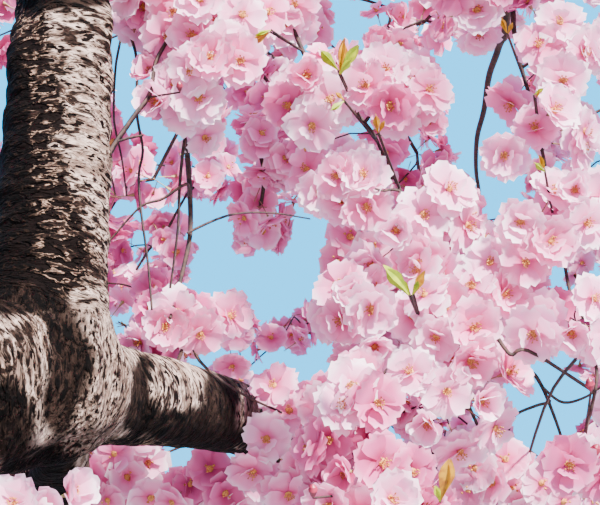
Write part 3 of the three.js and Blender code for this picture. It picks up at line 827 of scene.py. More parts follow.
# how one petal differs from the next
petalRange = {"turn": (-0.14, 0.14), "length": (0.93, 1.05), "width": (0.92, 1.1), "lift": (-9, 9),
              "curl": (-30, 12), "cup": (-0.05, 0.28), "twist": (-0.25, 0.25)}


def petalGrid(length, width, lift, curl, cup, rows, columns, twist=0):
    # a petal that leaves the heart along +X, rises by lift and bends by curl, with a notched rim
    v = np.linspace(0, 1, rows + 1) ** 0.85
    u = np.linspace(-1, 1, columns + 1)
    angle = lift + curl * v
    step = np.diff(v, prepend=0) * length
    x = np.cumsum(np.cos(angle) * step)
    z = np.cumsum(np.sin(angle) * step)
    half = width / 2 * np.interp(v, flowerShape["along"], flowerShape["widths"])
    rim = 1 - flowerShape["notch"] * (0.5 + 0.5 * np.cos(2 * math.pi * u))
    verts = []
    reach = []
    for i in range(rows + 1):
        pull = 1 - (1 - rim) * v[i] ** 6
        raised = z[i] + cup * half[i] * u ** 2 + twist * half[i] * u * v[i]
        verts.append(np.stack([x[i] * pull, half[i] * u, raised], axis=1))
        reach.append(np.full(columns + 1, v[i]))
    faces = []
    for i in range(rows):
        for j in range(columns):
            a = i * (columns + 1) + j
            faces.append((a, a + columns + 1, a + columns + 2, a + 1))
    return np.vstack(verts), faces, np.concatenate(reach)


def kite(length, width, lift, fold):
    # the plainest petal: two faces that meet along its middle
    tip = np.array([math.cos(lift), 0, math.sin(lift)]) * length
    side = tip * farPetals["widest"]
    verts = np.array([[0, 0, 0], side + [0, -width / 2, fold], tip, side + [0, width / 2, fold]])
    return verts, [(0, 1, 2), (0, 2, 3)], np.array([0, 0.7, 1, 0.7])


def turned(verts, angle):
    c = math.cos(angle)
    s = math.sin(angle)
    return verts @ np.array([[c, s, 0], [-s, c, 0], [0, 0, 1]])


def addValues(mesh, name, kind, values):
    # a measure of each vertex, which node trees and finishes read
    made = mesh.attributes.new(name, kind, "POINT")
    made.data.foreach_set("vector" if kind == "FLOAT_VECTOR" else "value", np.ravel(values))


class Shape:
    # faces gathered into one mesh, with the share of its petal that each corner lies at
    def __init__(self):
        self.verts = []
        self.faces = []
        self.reach = []
        self.count = 0

    def add(self, verts, faces, reach=None):
        self.verts.append(verts)
        self.faces += [tuple(i + self.count for i in face) for face in faces]
        self.reach.append(np.zeros(len(verts)) if reach is None else reach)
        self.count += len(verts)

    def build(self, name, collection):
        mesh = bpy.data.meshes.new(name)
        mesh.from_pydata(np.vstack(self.verts).tolist(), [], self.faces)
        addValues(mesh, "reach", "FLOAT", np.concatenate(self.reach))
        mesh.polygons.foreach_set("use_smooth", [True] * len(mesh.polygons))
        made = bpy.data.objects.new(name, mesh)
        collection.objects.link(made)
        return made


def cone(sides, foot, footRadius, top, topRadius, tip=False):
    # an open ring of faces round the Z axis, or a pointed one
    angles = np.arange(sides) * 2 * math.pi / sides
    ring = np.stack([np.cos(angles), np.sin(angles), np.zeros(sides)], axis=1)
    lower = ring * footRadius + [0, 0, foot]
    if tip:
        verts = np.vstack([lower, [[0, 0, top]]])
        return verts, [(i, (i + 1) % sides, sides) for i in range(sides)]
    verts = np.vstack([lower, ring * topRadius + [0, 0, top]])
    return verts, [(i, (i + 1) % sides, sides + (i + 1) % sides, sides + i) for i in range(sides)]


# the rings of petals of each variant: how many, their lift in degrees, and their length as a share
variants = {
    "open": ((6, 8, 1.0), (6, 21, 0.9), (2, 50, 0.5)),
    "flat": ((6, 0, 1.05), (6, 13, 0.93), (1, 46, 0.5)),
    "cupped": ((6, 24, 1.0), (5, 38, 0.88), (2, 60, 0.55)),
    "half_open": ((6, 56, 0.94), (4, 66, 0.84)),
}
# what each level of detail spends on a petal and on a flower's heart; anther is half the size of one
details = {
    "near": {"variants": ("open", "flat", "cupped", "half_open"), "rows": 5, "columns": 4, "stamens": 14,
             "anther": 0.0006, "cupSides": 5},
    "mid": {"variants": ("open", "flat", "cupped"), "rows": 2, "columns": 2, "stamens": 3,
            "anther": 0.001, "cupSides": 3},
    "far": {"variants": ("open", "flat", "cupped")},
}
# heights from the stalk's top and radii, in metres; top and cupFrom of stalkShape are shares of the stalk
heartShape = {"sides": 6, "foot": 0.0022, "radius": 0.0032, "top": 0.0054}
farHeart = {"sides": 3, "foot": 0.003, "radius": 0.0042, "top": 0.007}
anthers = {"turn": 2.4, "out": (0.0016, 0.0046), "up": (0.0055, 0.0085), "thread": 0.0003, "foot": 0.001}
stalkShape = {"radius": 0.0006, "top": 0.72, "cupFrom": 0.7, "cupTop": 0.0014, "cup": (0.0009, 0.0027)}
farStalk = {"radius": 0.0028, "top": 0.003}
scraps = bpy.data.collections.new("shapes")
shapeSets = {}


def shapeSet(name):
    made = bpy.data.collections.new(name)
    scraps.children.link(made)
    shapeSets[name] = made
    return made


def petalsOf(rings, level, variety):
    made = Shape()
    detail = details[level]

    def pick(name):
        return variety.uniform(*petalRange[name])

    for ring, (count, lift, share) in enumerate(rings):
        narrowed = flowerShape["narrowing"][0] + flowerShape["narrowing"][1] * share
        for k in range(count):
            angle = 2 * math.pi * (k + 0.5 * (ring % 2)) / count + pick("turn")
            length = flowerShape["petal"] * share * pick("length")
            width = flowerShape["width"] * narrowed * pick("width")
            tilt = math.radians(lift + pick("lift"))
            if level != "near" and ring == 2:
                continue
            if level == "far":
                most = farPetals["rings"][ring]
                if k >= most:
                    continue
                angle = 2 * math.pi * (k + 0.5 * ring) / most + pick("turn")
                verts, faces, reach = kite(length, width * farPetals["wider"], tilt, farPetals["fold"])
            else:
                curl = math.radians(pick("curl"))
                cup = pick("cup")
                verts, faces, reach = petalGrid(length, width, tilt, curl, cup, detail["rows"],
                                                detail["columns"], pick("twist"))
            verts = verts + [flowerShape["foot"], 0, flowerStalk + flowerShape["ringStep"] * ring]
            made.add(turned(verts, angle), faces, reach)
    return made


def heartOf(level, variety):
    # the eye of a flower, with its anthers round it
    made = Shape()
    heart = farHeart if level == "far" else heartShape
    made.add(*cone(heart["sides"], flowerStalk + heart["foot"], heart["radius"], flowerStalk + heart["top"],
                   0, tip=True))
    for k in range(details[level].get("stamens", 0)):
        angle = k * anthers["turn"]
        far = variety.uniform(*anthers["out"])
        tall = flowerStalk + variety.uniform(*anthers["up"])
        top = np.array([math.cos(angle) * far, math.sin(angle) * far, tall])
        corners = np.array([[1, 1, 1], [1, -1, -1], [-1, 1, -1], [-1, -1, 1]])
        made.add(corners * details[level]["anther"] + top, [(0, 1, 2), (0, 3, 1), (0, 2, 3), (1, 3, 2)])
        if level == "near":
            foot = np.array([0, 0, flowerStalk + anthers["foot"]])
            side = np.array([-math.sin(angle), math.cos(angle), 0]) * anthers["thread"]
            made.add(np.array([foot, top + side, top - side]), [(0, 1, 2)])
    return made


def stalkOf(level):
    made = Shape()
    if level == "far":
        verts, faces = cone(3, flowerStalk + farStalk["top"], farStalk["radius"], 0, 0, tip=True)
        made.add(verts, [face[::-1] for face in faces])
        return made
    low, high = stalkShape["cup"]
    radius = stalkShape["radius"]
    made.add(*cone(3, 0, radius, flowerStalk * stalkShape["top"], radius))
    made.add(*cone(details[level]["cupSides"], flowerStalk * stalkShape["cupFrom"], low,
                   flowerStalk + stalkShape["cupTop"], high))
    return made


for level, detail in details.items():
    variety = np.random.RandomState(flowerShape["seed"])
    sets = {part: shapeSet(f"{part}_{level}") for part in ("petals", "hearts", "stalks")}
    for i, variant in enumerate(detail["variants"]):
        petalsOf(variants[variant], level, variety).build(f"petals_{level}_{i}", sets["petals"])
        heartOf(level, variety).build(f"heart_{level}_{i}", sets["hearts"])
        stalkOf(level).build(f"stalk_{level}_{i}", sets["stalks"])

# the small tufts of young leaves: sizes in metres, lift in degrees
leafShape = {"length": 0.026, "lengths": (0.7, 1.2), "width": 0.0105, "lift": (40, 75), "fold": 0.003,
             "perTuft": 3, "turn": 2.1, "jitter": (-0.4, 0.4), "seed": 40, "sizes": (0.8, 1.2)}
leafSet = shapeSet("leaves")
variety = np.random.RandomState(leafShape["seed"])
tuft = Shape()
for k in range(leafShape["perTuft"]):
    length = leafShape["length"] * variety.uniform(*leafShape["lengths"])
    lift = math.radians(variety.uniform(*leafShape["lift"]))
    verts, faces, reach = kite(length, leafShape["width"], lift, leafShape["fold"])
    tuft.add(turned(verts, leafShape["turn"] * k + variety.uniform(*leafShape["jitter"])), faces, reach)
tuft.build("leaf_tuft", leafSet)
# a pair of leaves in the view, one unit long: the turn and the length of each, angles in degrees
viewLeaf = {"pair": ((0, 1.0), (1.9, 0.86)), "width": 0.46, "lift": 76, "curl": 26, "cup": 0.4, "rows": 6,
            "columns": 2, "along": (0, 0.6, 1), "widths": (0.7, 1, 0.12)}
single = Shape()
for turn, length in viewLeaf["pair"]:
    verts, faces, reach = petalGrid(length, viewLeaf["width"], math.radians(viewLeaf["lift"]),
                                    math.radians(viewLeaf["curl"]), viewLeaf["cup"], viewLeaf["rows"],
                                    viewLeaf["columns"])
    verts[:, 1] *= np.interp(reach, viewLeaf["along"], viewLeaf["widths"])  # drawn out to a point
    single.add(turned(verts, turn), faces, reach)
single.build("single_leaf", leafSet)
# a bud on a spray, by shares of a flower's stalk, and one in the view, one unit long, as height and radius
budShape = {"width": 0.0042, "foot": 0.6, "footWidth": 0.4, "middle": 0.85, "top": 1.3, "sizes": (0.8, 1.2)}
viewBud = {"sides": 7, "rings": ((0.0, 0.05), (0.25, 0.2), (0.6, 0.34), (0.9, 0.24), (1.1, 0.02))}
budSet = shapeSet("buds")
bud = Shape()
middle = flowerStalk * budShape["middle"]
bud.add(*cone(3, flowerStalk * budShape["foot"], budShape["footWidth"] * budShape["width"], middle,
              budShape["width"]))
bud.add(*cone(3, middle, budShape["width"], flowerStalk * budShape["top"], 0, tip=True))
bud.build("bud", budSet)
roundBud = Shape()
for lower, upper in zip(viewBud["rings"], viewBud["rings"][1:]):
    roundBud.add(*cone(viewBud["sides"], *lower, *upper))
roundBud.build("round_bud", budSet)
report("shapes made")

# finishes


class Value:
    # a socket that takes part in sums, so that a pattern reads as maths
    def __init__(self, tree, socket):
        self.tree = tree
        self.socket = socket

    def sum(self, operation, *others):
        return self.tree.node("ShaderNodeMath", {"operation": operation}, dict(enumerate((self, *others))))

    def __add__(self, other):
        return self.sum("ADD", other)

    def __radd__(self, other):
        return self.sum("ADD", other)

    def __sub__(self, other):
        return self.sum("SUBTRACT", other)

    def __rsub__(self, other):
        return self.sum("MULTIPLY", -1).sum("ADD", other)

    def __mul__(self, other):
        return self.sum("MULTIPLY", other)

    def __rmul__(self, other):
        return self.sum("MULTIPLY", other)

    def above(self, low, high):
        # 0 below low, 1 above high, and soft between
        return self.tree.node("ShaderNodeMapRange", {"interpolation_type": "SMOOTHSTEP"},
                              {"Value": self, "From Min": low, "From Max": high})


class Tree:
    # a node tree, shader or geometry, with one way to add a node
    def __init__(self, tree):
        self.tree = tree

    def node(self, kind, settings=None, sockets=None, out=0):
        made = self.tree.nodes.new(kind)
        for name, value in (settings or {}).items():
            setattr(made, name, value)
        for name, value in (sockets or {}).items():
            if isinstance(value, Value):
                self.tree.links.new(value.socket, made.inputs[name])
            elif isinstance(value, tuple) and len(value) == 3 and made.inputs[name].type == "RGBA":
                made.inputs[name].default_value = (*value, 1)
            else:
                made.inputs[name].default_value = value
        return Value(self, made.outputs[out]) if len(made.outputs) else made


def newFinish(name):
    material = bpy.data.materials.new(name)
    material.use_nodes = True
    material.node_tree.nodes.clear()
    return material, Tree(material.node_tree)


def close(tree, surface):
    tree.node("ShaderNodeOutputMaterial", None, {"Surface": surface})


def blendColour(tree, share, first, second):
    # two colours, mixed by a value
    return tree.node("ShaderNodeMix", {"data_type": "RGBA"}, {0: share, 6: first, 7: second}, out=2)


def petalFinish(name, base, body, rim, glow):
    # a thin petal: deeper at its foot, paler at its rim, and lit through from behind
    material, tree = newFinish(name)
    reach = tree.node("ShaderNodeAttribute", {"attribute_name": "reach"}, out=2)
    place = tree.node("ShaderNodeTexCoord", out=3)
    cloud = tree.node("ShaderNodeTexNoise", None, {"Vector": place, "Scale": 38.0, "Detail": 1.0})
    colour = body
    if rim:
        colour = blendColour(tree, (reach + cloud * 0.3 - 0.15).above(0.05, 0.5), base, body)
        colour = blendColour(tree, (reach + cloud * 0.4 - 0.2).above(0.62, 1.05), colour, rim)
    rough = cloud * 0.2 + 0.45
    skin = tree.node("ShaderNodeBsdfPrincipled", None,
                     {"Base Color": colour, "Roughness": rough, "Specular IOR Level": 0.25})
    through = tree.node("ShaderNodeBsdfTranslucent", None, {"Color": body})
    close(tree, tree.node("ShaderNodeMixShader", None, {0: glow, 1: skin, 2: through}))
    return material


def plainFinish(name, light, dark, scale, rough, glow=0.0, bump=0.0):
    # two near colours in a soft mottle
    material, tree = newFinish(name)
    place = tree.node("ShaderNodeTexCoord", out=3)
    mottle = tree.node("ShaderNodeTexNoise", None, {"Vector": place, "Scale": scale, "Detail": 2.0})
    colour = blendColour(tree, mottle.above(0.35, 0.65), dark, light)
    values = {"Base Color": colour, "Roughness": mottle * 0.2 + (rough - 0.1)}
    if bump:
        values["Normal"] = tree.node("ShaderNodeBump", None,
                                     {"Strength": bump, "Distance": 0.001, "Height": mottle})
    skin = tree.node("ShaderNodeBsdfPrincipled", None, values)
    if glow:
        through = tree.node("ShaderNodeBsdfTranslucent", None, {"Color": light})
        skin = tree.node("ShaderNodeMixShader", None, {0: glow, 1: skin, 2: through})
    close(tree, skin)
    return material


# plain colours, as light that they return in red, green and blue
petalColours = {
    "pale": {"base": (0.8, 0.15, 0.38), "body": (0.9, 0.47, 0.68), "rim": (0.97, 0.9, 0.96)},
    "pink": {"base": (0.72, 0.09, 0.29), "body": (0.86, 0.31, 0.54), "rim": (0.94, 0.68, 0.83)},
    "deep": {"base": (0.5, 0.04, 0.18), "body": (0.72, 0.16, 0.38), "rim": (0.84, 0.38, 0.58)},
}
petalGlow = 0.42
plainColours = {
    "hearts": {"light": (0.62, 0.3, 0.06), "dark": (0.36, 0.1, 0.03), "scale": 900, "rough": 0.6},
    "stalks": {"light": (0.34, 0.3, 0.1), "dark": (0.28, 0.12, 0.08), "scale": 120, "rough": 0.6},
    "leaves_green": {"light": (0.36, 0.44, 0.0), "dark": (0.2, 0.3, 0.0), "scale": 160, "rough": 0.5,
                     "glow": 0.2},
    "leaves_bronze": {"light": (0.5, 0.26, 0.0), "dark": (0.28, 0.1, 0.0), "scale": 160, "rough": 0.5,
                      "glow": 0.15},
    "buds": {"light": (0.3, 0.012, 0.05), "dark": (0.09, 0.003, 0.012), "scale": 150, "rough": 0.4},
    "twigs": {"light": (0.055, 0.024, 0.018), "dark": (0.013, 0.005, 0.004), "scale": 220, "rough": 0.8,
              "bump": 0.5},
}
finishes = {}
for tone, colours in petalColours.items():
    finishes[f"petals_{tone}"] = petalFinish(f"petals_{tone}", **colours, glow=petalGlow)
    plain = {**colours, "rim": None}
    finishes[f"plain_{tone}"] = petalFinish(f"plain_{tone}", **plain, glow=petalGlow)
for name, colours in plainColours.items():
    finishes[name] = plainFinish(name, **colours)

# the bark's patterns: their scale along the limb's own directions, and over, the scale at a fork
barkPatterns = {
    "zones": {"scale": (10, 10, 16), "values": {"Detail": 2.0}},
    "bands": {"scale": (18, 18, 80), "values": {"Detail": 3.0}},
    "ridges": {"scale": (105, 105, 235), "over": (300, 300, 125),
               "values": {"Detail": 2.0, "Roughness": 0.55, "Distortion": 0.2}},
    "scales": {"scale": (84, 84, 205), "over": (230, 230, 95),
               "values": {"Detail": 3.0, "Roughness": 0.5, "Distortion": 0.5}},
    "grainy": {"scale": (300, 300, 640), "values": {"Detail": 2.0}},
    "cells": {"kind": "ShaderNodeTexVoronoi", "scale": (86, 86, 250), "over": (250, 250, 96),
              "values": {"Randomness": 1.0}},
}
# its tones, as light that they return, and the depth of its fine bumps in metres; among them are the colour
# that painted shade multiplies in, the near-black of worn scales that is also painted shade, and the colour
# of dashes and of the painted shadow in cracks
barkTones = {"lit": ((0.14, 0.093, 0.071), (0.42, 0.318, 0.265)), "lip": (0.24, 0.155, 0.11),
             "wornAndShaded": ((0.0022, 0.001, 0.0008), (0.016, 0.0085, 0.006)), "grain": (0.03, 0.017, 0.013),
             "hollow": (0.045, 0.034, 0.03), "dashAndShadow": (0.002, 0.0008, 0.0006)}
barkBump = 0.0058


def barkFinish():
    # cherry bark: beige with short dark dashes that wrap round the limb; where it is worn, rough scales
    # with thin pale lips, near-black as painted shade on the side away from the sun; and painted shade where
    # the view has shadow
    material, tree = newFinish("bark")
    place = tree.node("ShaderNodeAttribute", {"attribute_name": "grain"}, out=1)
    # painted shade, laid where the view has shadow
    hollow = tree.node("ShaderNodeAttribute", {"attribute_name": "hollow"}, out=2)
    # rough worn scales, dark as painted shade on the side away from the sun
    weather = tree.node("ShaderNodeAttribute", {"attribute_name": "weather"}, out=2)
    forked = tree.node("ShaderNodeAttribute", {"attribute_name": "fork"}, out=2).above(0.1, 0.34)
    plain = tree.node("ShaderNodeTexCoord", out=3)

    def pattern(scale, values, over=None, kind="ShaderNodeTexNoise"):
        # at a fork it lies on the object's own coordinates, because the limbs' directions meet there
        spread = tree.node("ShaderNodeMapping", None, {"Vector": place, "Scale": scale})
        found = tree.node(kind, None, {"Vector": spread, "Scale": 1.0, **values})
        if over:
            spread = tree.node("ShaderNodeMapping", None, {"Vector": plain, "Scale": over})
            other = tree.node(kind, None, {"Vector": spread, "Scale": 1.0, **values})
            found = found + (other - found) * forked
        return found

    zones, bands, ridges, scales, grainy, cells = [pattern(**row) for row in barkPatterns.values()]
    smooth = 1 - (zones * 0.9 + weather * 1.1 + scales * 2.2 - 1.4).above(0.24, 0.6)
    rough = 1 - smooth * smooth * smooth
    lit = 1 - hollow
    shade = 1 - lit * lit * lit
    dashes = 1 - (cells + ridges * 0.5 - 0.25).above(0.18, 0.26)
    # dark cracks between scales, drawn near-black as the shadow under each flake: partly real cracks, partly
    # painted shadow
    cracksAndShadows = 1 - (scales - rough * 0.09).above(0.36, 0.4)
    edges = scales - rough * 0.03
    lips = (edges.above(0.46, 0.49) - edges.above(0.51, 0.55)) * (ridges + bands * 0.4).above(0.6, 0.74)
    tone = blendColour(tree, (bands * 0.5 + ridges * 0.5).above(0.42, 0.62), *barkTones["lit"])
    # the near-black of worn scales, which is painted shade as well
    wornAndShaded = blendColour(tree, (grainy * 0.5 + ridges * 0.5).above(0.42, 0.66), *barkTones["wornAndShaded"])
    wornAndShaded = blendColour(tree, lips * lips, wornAndShaded, barkTones["lip"])
    tone = blendColour(tree, rough, tone, wornAndShaded)
    tone = blendColour(tree, grainy.above(0.54, 0.78) * 0.45, tone, barkTones["grain"])
    # multiplied darker by the painted shade
    tone = tree.node("ShaderNodeMix", {"data_type": "RGBA", "blend_type": "MULTIPLY"},
                     {0: shade, 6: tone, 7: barkTones["hollow"]}, out=2)
    tone = blendColour(tree, dashes.sum("MAXIMUM", cracksAndShadows), tone, barkTones["dashAndShadow"])
    height = ridges * 0.5 + scales.above(0.4, 0.56) * (rough * 0.6 + 0.25) + grainy * 0.1 - dashes * 0.4
    lumps = tree.node("ShaderNodeBump", None, {"Strength": 1.0, "Distance": barkBump, "Height": height})
    skin = tree.node("ShaderNodeBsdfPrincipled", None,
                     {"Base Color": tone, "Roughness": zones * 0.15 + 0.8, "Normal": lumps,
                      "Specular IOR Level": 0.06})
    close(tree, skin)
    return material


# Geometry Nodes trees: one sets shapes on points, one runs a tube along shoots


def startTree(name, rows):
    # a new tree, and its inputs by name
    tree = bpy.data.node_groups.new(name, "GeometryNodeTree")
    for label, kind in {"Geometry": "Geometry", **rows}.items():
        tree.interface.new_socket(label, in_out="INPUT", socket_type=f"NodeSocket{kind}")
    tree.interface.new_socket("Geometry", in_out="OUTPUT", socket_type="NodeSocketGeometry")
    work = Tree(tree)
    given = tree.nodes.new("NodeGroupInput").outputs
    return work, {socket.name: Value(work, socket) for socket in given if socket.name}


def endTree(work, geometry, finish):
    # real faces in their finish, as the tree's output
    real = work.node("GeometryNodeRealizeInstances", None, {"Geometry": geometry})
    done = work.node("GeometryNodeSetMaterial", None, {"Geometry": real, "Material": finish})
    work.tree.links.new(done.socket, work.tree.nodes.new("NodeGroupOutput").inputs[0])
    return work.tree


def valueOf(work, name, kind):
    return work.node("GeometryNodeInputNamedAttribute", {"data_type": kind}, {"Name": name})


def scatterTree():
    work, inputs = startTree("flower_scatter", {"Shapes": "Collection", "Smallest": "Float",
                                                "Largest": "Float", "Seed": "Int", "Finish": "Material"})
    shapes = work.node("GeometryNodeCollectionInfo", None,
                       {"Collection": inputs["Shapes"], "Separate Children": True, "Reset Children": True})
    number = valueOf(work, "number", "INT")
    aim = valueOf(work, "aim", "FLOAT_VECTOR")
    kind = valueOf(work, "kind", "INT")

    def drawn(low, high):
        return work.node("FunctionNodeRandomValue", {"data_type": "FLOAT"},
                         {2: low, 3: high, "ID": number, "Seed": inputs["Seed"]}, out=1)

    spin = drawn(0.0, 2 * math.pi)
    size = drawn(inputs["Smallest"], inputs["Largest"])
    own = valueOf(work, "size", "FLOAT")
    turn = work.node("FunctionNodeAxisAngleToRotation", None, {"Axis": (0, 0, 1), "Angle": spin})
    facing = work.node("FunctionNodeAlignRotationToVector", {"axis": "Z"}, {"Rotation": turn, "Vector": aim})
    cloud = work.node("GeometryNodeMeshToPoints", None, {"Mesh": inputs["Geometry"]})
    placed = work.node("GeometryNodeInstanceOnPoints", None,
                       {"Points": cloud, "Instance": shapes, "Pick Instance": True, "Instance Index": kind,
                        "Rotation": facing, "Scale": own * size})
    return endTree(work, placed, inputs["Finish"])


def shootTree():
    work, inputs = startTree("shoot_tubes", {"Sides": "Int", "Thickness": "Float", "Finish": "Material"})
    girth = valueOf(work, "girth", "FLOAT")
    curves = work.node("GeometryNodeMeshToCurve", None, {"Mesh": inputs["Geometry"]})
    ring = work.node("GeometryNodeCurvePrimitiveCircle", None,
                     {"Resolution": inputs["Sides"], "Radius": inputs["Thickness"]})
    made = work.node("GeometryNodeCurveToMesh", None,
                     {"Curve": curves, "Profile Curve": ring, "Scale": girth, "Fill Caps": True})
    even = work.node("GeometryNodeSetShadeSmooth", None, {"Geometry": made, "Shade Smooth": True})
    return endTree(work, even, inputs["Finish"])


def runTree(piece, tree, values):
    # sets the tree's inputs by identifier, then keeps what it makes as a plain mesh
    modifier = piece.modifiers.new("grow", "NODES")
    modifier.node_group = tree
    for socket in tree.interface.items_tree:
        if socket.item_type == "SOCKET" and socket.in_out == "INPUT" and socket.name in values:
            modifier[socket.identifier] = values[socket.name]
    graph = bpy.context.evaluated_depsgraph_get()
    mesh = bpy.data.meshes.new_from_object(piece.evaluated_get(graph))
    piece.modifiers.clear()
    piece.data = mesh
    mesh.name = piece.name
    return piece


def newPiece(name, mesh):
    piece = bpy.data.objects.new(name, mesh)
    bpy.context.scene.collection.objects.link(piece)
    return piece


growScatter = scatterTree()
growShoots = shootTree()
scatterSeed = 7


def scatter(name, shapes, points, finish, sizes):
    mesh = bpy.data.meshes.new(name)
    mesh.from_pydata([tuple(p["at"]) for p in points], [], [])
    addValues(mesh, "aim", "FLOAT_VECTOR", [p["aim"] for p in points])
    addValues(mesh, "kind", "INT", [p["kind"] for p in points])
    addValues(mesh, "number", "INT", [p["number"] for p in points])
    addValues(mesh, "size", "FLOAT", [p.get("size", 1.0) for p in points])
    return runTree(newPiece(name, mesh), growScatter,
                   {"Shapes": shapeSets[shapes], "Smallest": sizes[0], "Largest": sizes[1],
                    "Seed": scatterSeed, "Finish": finish})


def tubes(name, rows, sides, finish, thickness=1.0):
    verts = []
    edges = []
    girths = []
    for row in rows:
        first = len(verts)
        count = len(row["points"])
        verts += [tuple(p) for p in row["points"]]
        edges += [(first + i, first + i + 1) for i in range(count - 1)]
        girths += list(row["girths"] if "girths" in row else np.linspace(*row["girth"], count))
    mesh = bpy.data.meshes.new(name)
    mesh.from_pydata(verts, edges, [])
    addValues(mesh, "girth", "FLOAT", girths)
    return runTree(newPiece(name, mesh), growShoots,
                   {"Sides": sides, "Thickness": thickness, "Finish": finish})


def triangles(piece):
    return sum(len(face.vertices) - 2 for face in piece.data.polygons)


# the blossom pieces

allMasses = tuple(masses)


def keepPiece(piece, nodes):
    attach(piece, "root")
    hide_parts(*nodes)
    print(piece.name, triangles(piece))


for number, flower in enumerate(flowers):
    flower["number"] = number
    known = details[flower["level"]]["variants"]
    flower["kind"] = int(rng.randint(len(known)))
    if known[flower["kind"]] == "half_open" and rng.rand() < flowering["openInstead"]:
        flower["kind"] = 0
for level, detail in levels.items():
    chosen = [f for f in flowers if f["level"] == level]
    for tone in flowering["tones"]:
        some = [f for f in chosen if f["tone"] == tone]
        finish = finishes[f"plain_{tone}" if level == "far" else f"petals_{tone}"]
        keepPiece(scatter(f"petals_{level}_{tone}", f"petals_{level}", some, finish, detail["sizes"]),
                  allMasses)
    for part in ("hearts", "stalks"):
        keepPiece(scatter(f"{part}_{level}", f"{part}_{level}", chosen, finishes[part], detail["sizes"]),
                  allMasses)
for number, spot in enumerate(leafSpots + budSpots):
    spot["number"] = number
for tone in ("green", "bronze"):
    for kind, where in enumerate(("spray", "view")):
        some = [spot for spot in leafSpots if spot["tone"] == tone and spot["kind"] == kind]
        finish = finishes[f"leaves_{tone}"]
        piece = scatter(f"leaves_{tone}_{where}", "leaves", some, finish, leafShape["sizes"])
        keepPiece(piece, allMasses)
for kind, where in enumerate(("spray", "view")):
    some = [spot for spot in budSpots if spot["kind"] == kind]
    piece = scatter(f"buds_{where}", "buds", some, finishes["buds"], budShape["sizes"])
    keepPiece(piece, allMasses)
report("blossom")

# twigs: the stems and placed twigs, from this radius up, are rounder than the shoots
twigTube = {"stoutFrom": 0.003, "stout": 6, "fine": 3, "thicken": 1.1}
stout = [row for row in lines if row["girth"][0] > twigTube["stoutFrom"]]
fine = [row for row in lines if row["girth"][0] <= twigTube["stoutFrom"]]
keepPiece(tubes("twigs_stout", stout, twigTube["stout"], finishes["twigs"]), allMasses)
keepPiece(tubes("twigs_fine", fine, twigTube["fine"], finishes["twigs"], twigTube["thicken"]),
          allMasses)
report("twigs")

# bark

# wood under one skin: each limb and the shares of it that are covered; grain is the size of its faces,
# blend how softly forks run together, proud how far it stands out over the next skin, and the last value
# how much wear and painted shade it takes on the side away from the sun
skins = {
    "bark_trunk": {"parts": {"trunk": (0, 1), "limb_right": (0, 0.64), "limb_left": (0, 1),
                             "limb_front": (0, 1)},
                   "grain": 0.0073, "blend": 0.017, "proud": 0.0, "wearAndShading": 0.3},
    "bark_knee": {"parts": {"limb_right": (0.58, 1), "leader": (0, 0.4), "bough_back_right": (0, 0.75),
                            "bough_back": (0, 0.5)},
                  "grain": 0.0031, "blend": 0.008, "proud": 0.0008, "wearAndShading": 1.0},
}
# how a skin is made: tubes somewhat larger than the wood run together, then drawn in to it in rounds
skinning = {"larger": 1.12, "room": 0.008, "sides": 20, "rounds": 5, "slide": 0.6}
# the rest of the boughs, as tubes: how far apart their rings are and how many sides they have, the radius
# from which their relief is full, how much of it they have, how much wear and painted shade they take on the
# side away from the sun, and where those that a skin covers begin
boughTubes = {"step": 0.025, "sides": 12, "rings": 6, "full": 0.03, "relief": 0.8, "wearAndShading": 0.6,
              "from": {"leader": 0.36, "bough_back_right": 0.7, "bough_back": 0.44},
              "not": ("limb_right", "limb_left", "limb_front")}
# how far apart the points of a limb's line are, and how few it has at least
coreLine = {"step": 0.03, "least": 14}
# a limb that forks at its end is rounded off over this length, to this share of its radius
knuckles = {"trunk": (0.12, 0.6), "limb_right": (0.05, 0.82)}
# how far the trunk runs below the ground before it is cut
groundDepth = 0.2
# height and spacing of the bark's relief: slow lumps, ridges across the limb, and small scales
relief = {"lump": 0.0035, "lumpScale": 9, "ridge": 0.0021, "ridgeAcross": 12, "ridgeAlong": 62,
          "scale": 0.0017, "scaleAcross": 48, "scaleAlong": 130, "trunkLump": 2.0, "seeds": (3.1, 7.7, 1.3)}
# the bough whose bark grows smoother away from the fork: between which shares, and how smooth
smoother = {"on": "bough_back_right", "between": (0.04, 0.13), "least": 0.25, "reach": 1.5}
# the side of the wood that is worn rough and painted dark as shade: away from the sun
wearAndShading = {"way": (-0.9, 0.1, -0.42), "from": -0.2, "to": 0.62}
# hollows and swellings of the knee, where the photograph has them: centre and half sizes in pixels, turn in
# degrees, height in metres
dents = {
    "under_fork": (66, 345, 20, 34, 0, -0.007), "under_fork_low": (56, 405, 14, 26, 10, -0.005),
    "knee_side": (24, 345, 26, 30, 0, 0.005), "bright_rib": (94, 372, 7, 60, 0, 0.004),
    "collar_fold": (60, 452, 46, 7, -18, -0.006), "collar_lip": (58, 470, 50, 8, -16, 0.004),
    "bough_ring": (142, 380, 8, 42, 0, -0.003), "bough_neck": (112, 380, 7, 44, 0, -0.004),
    "leader_scar": (72, 295, 12, 10, 0, -0.004), "leader_swelling": (104, 28, 16, 22, 0, 0.007),
    "leader_pinch": (24, 4, 20, 22, 20, -0.009), "leader_left": (20, 60, 10, 26, 0, 0.003),
}
# how squarely the skin has to face the view, and between which depths it lies
facing = {"times": 2.5, "plus": 0.3, "depth": (0.7, 1.45)}
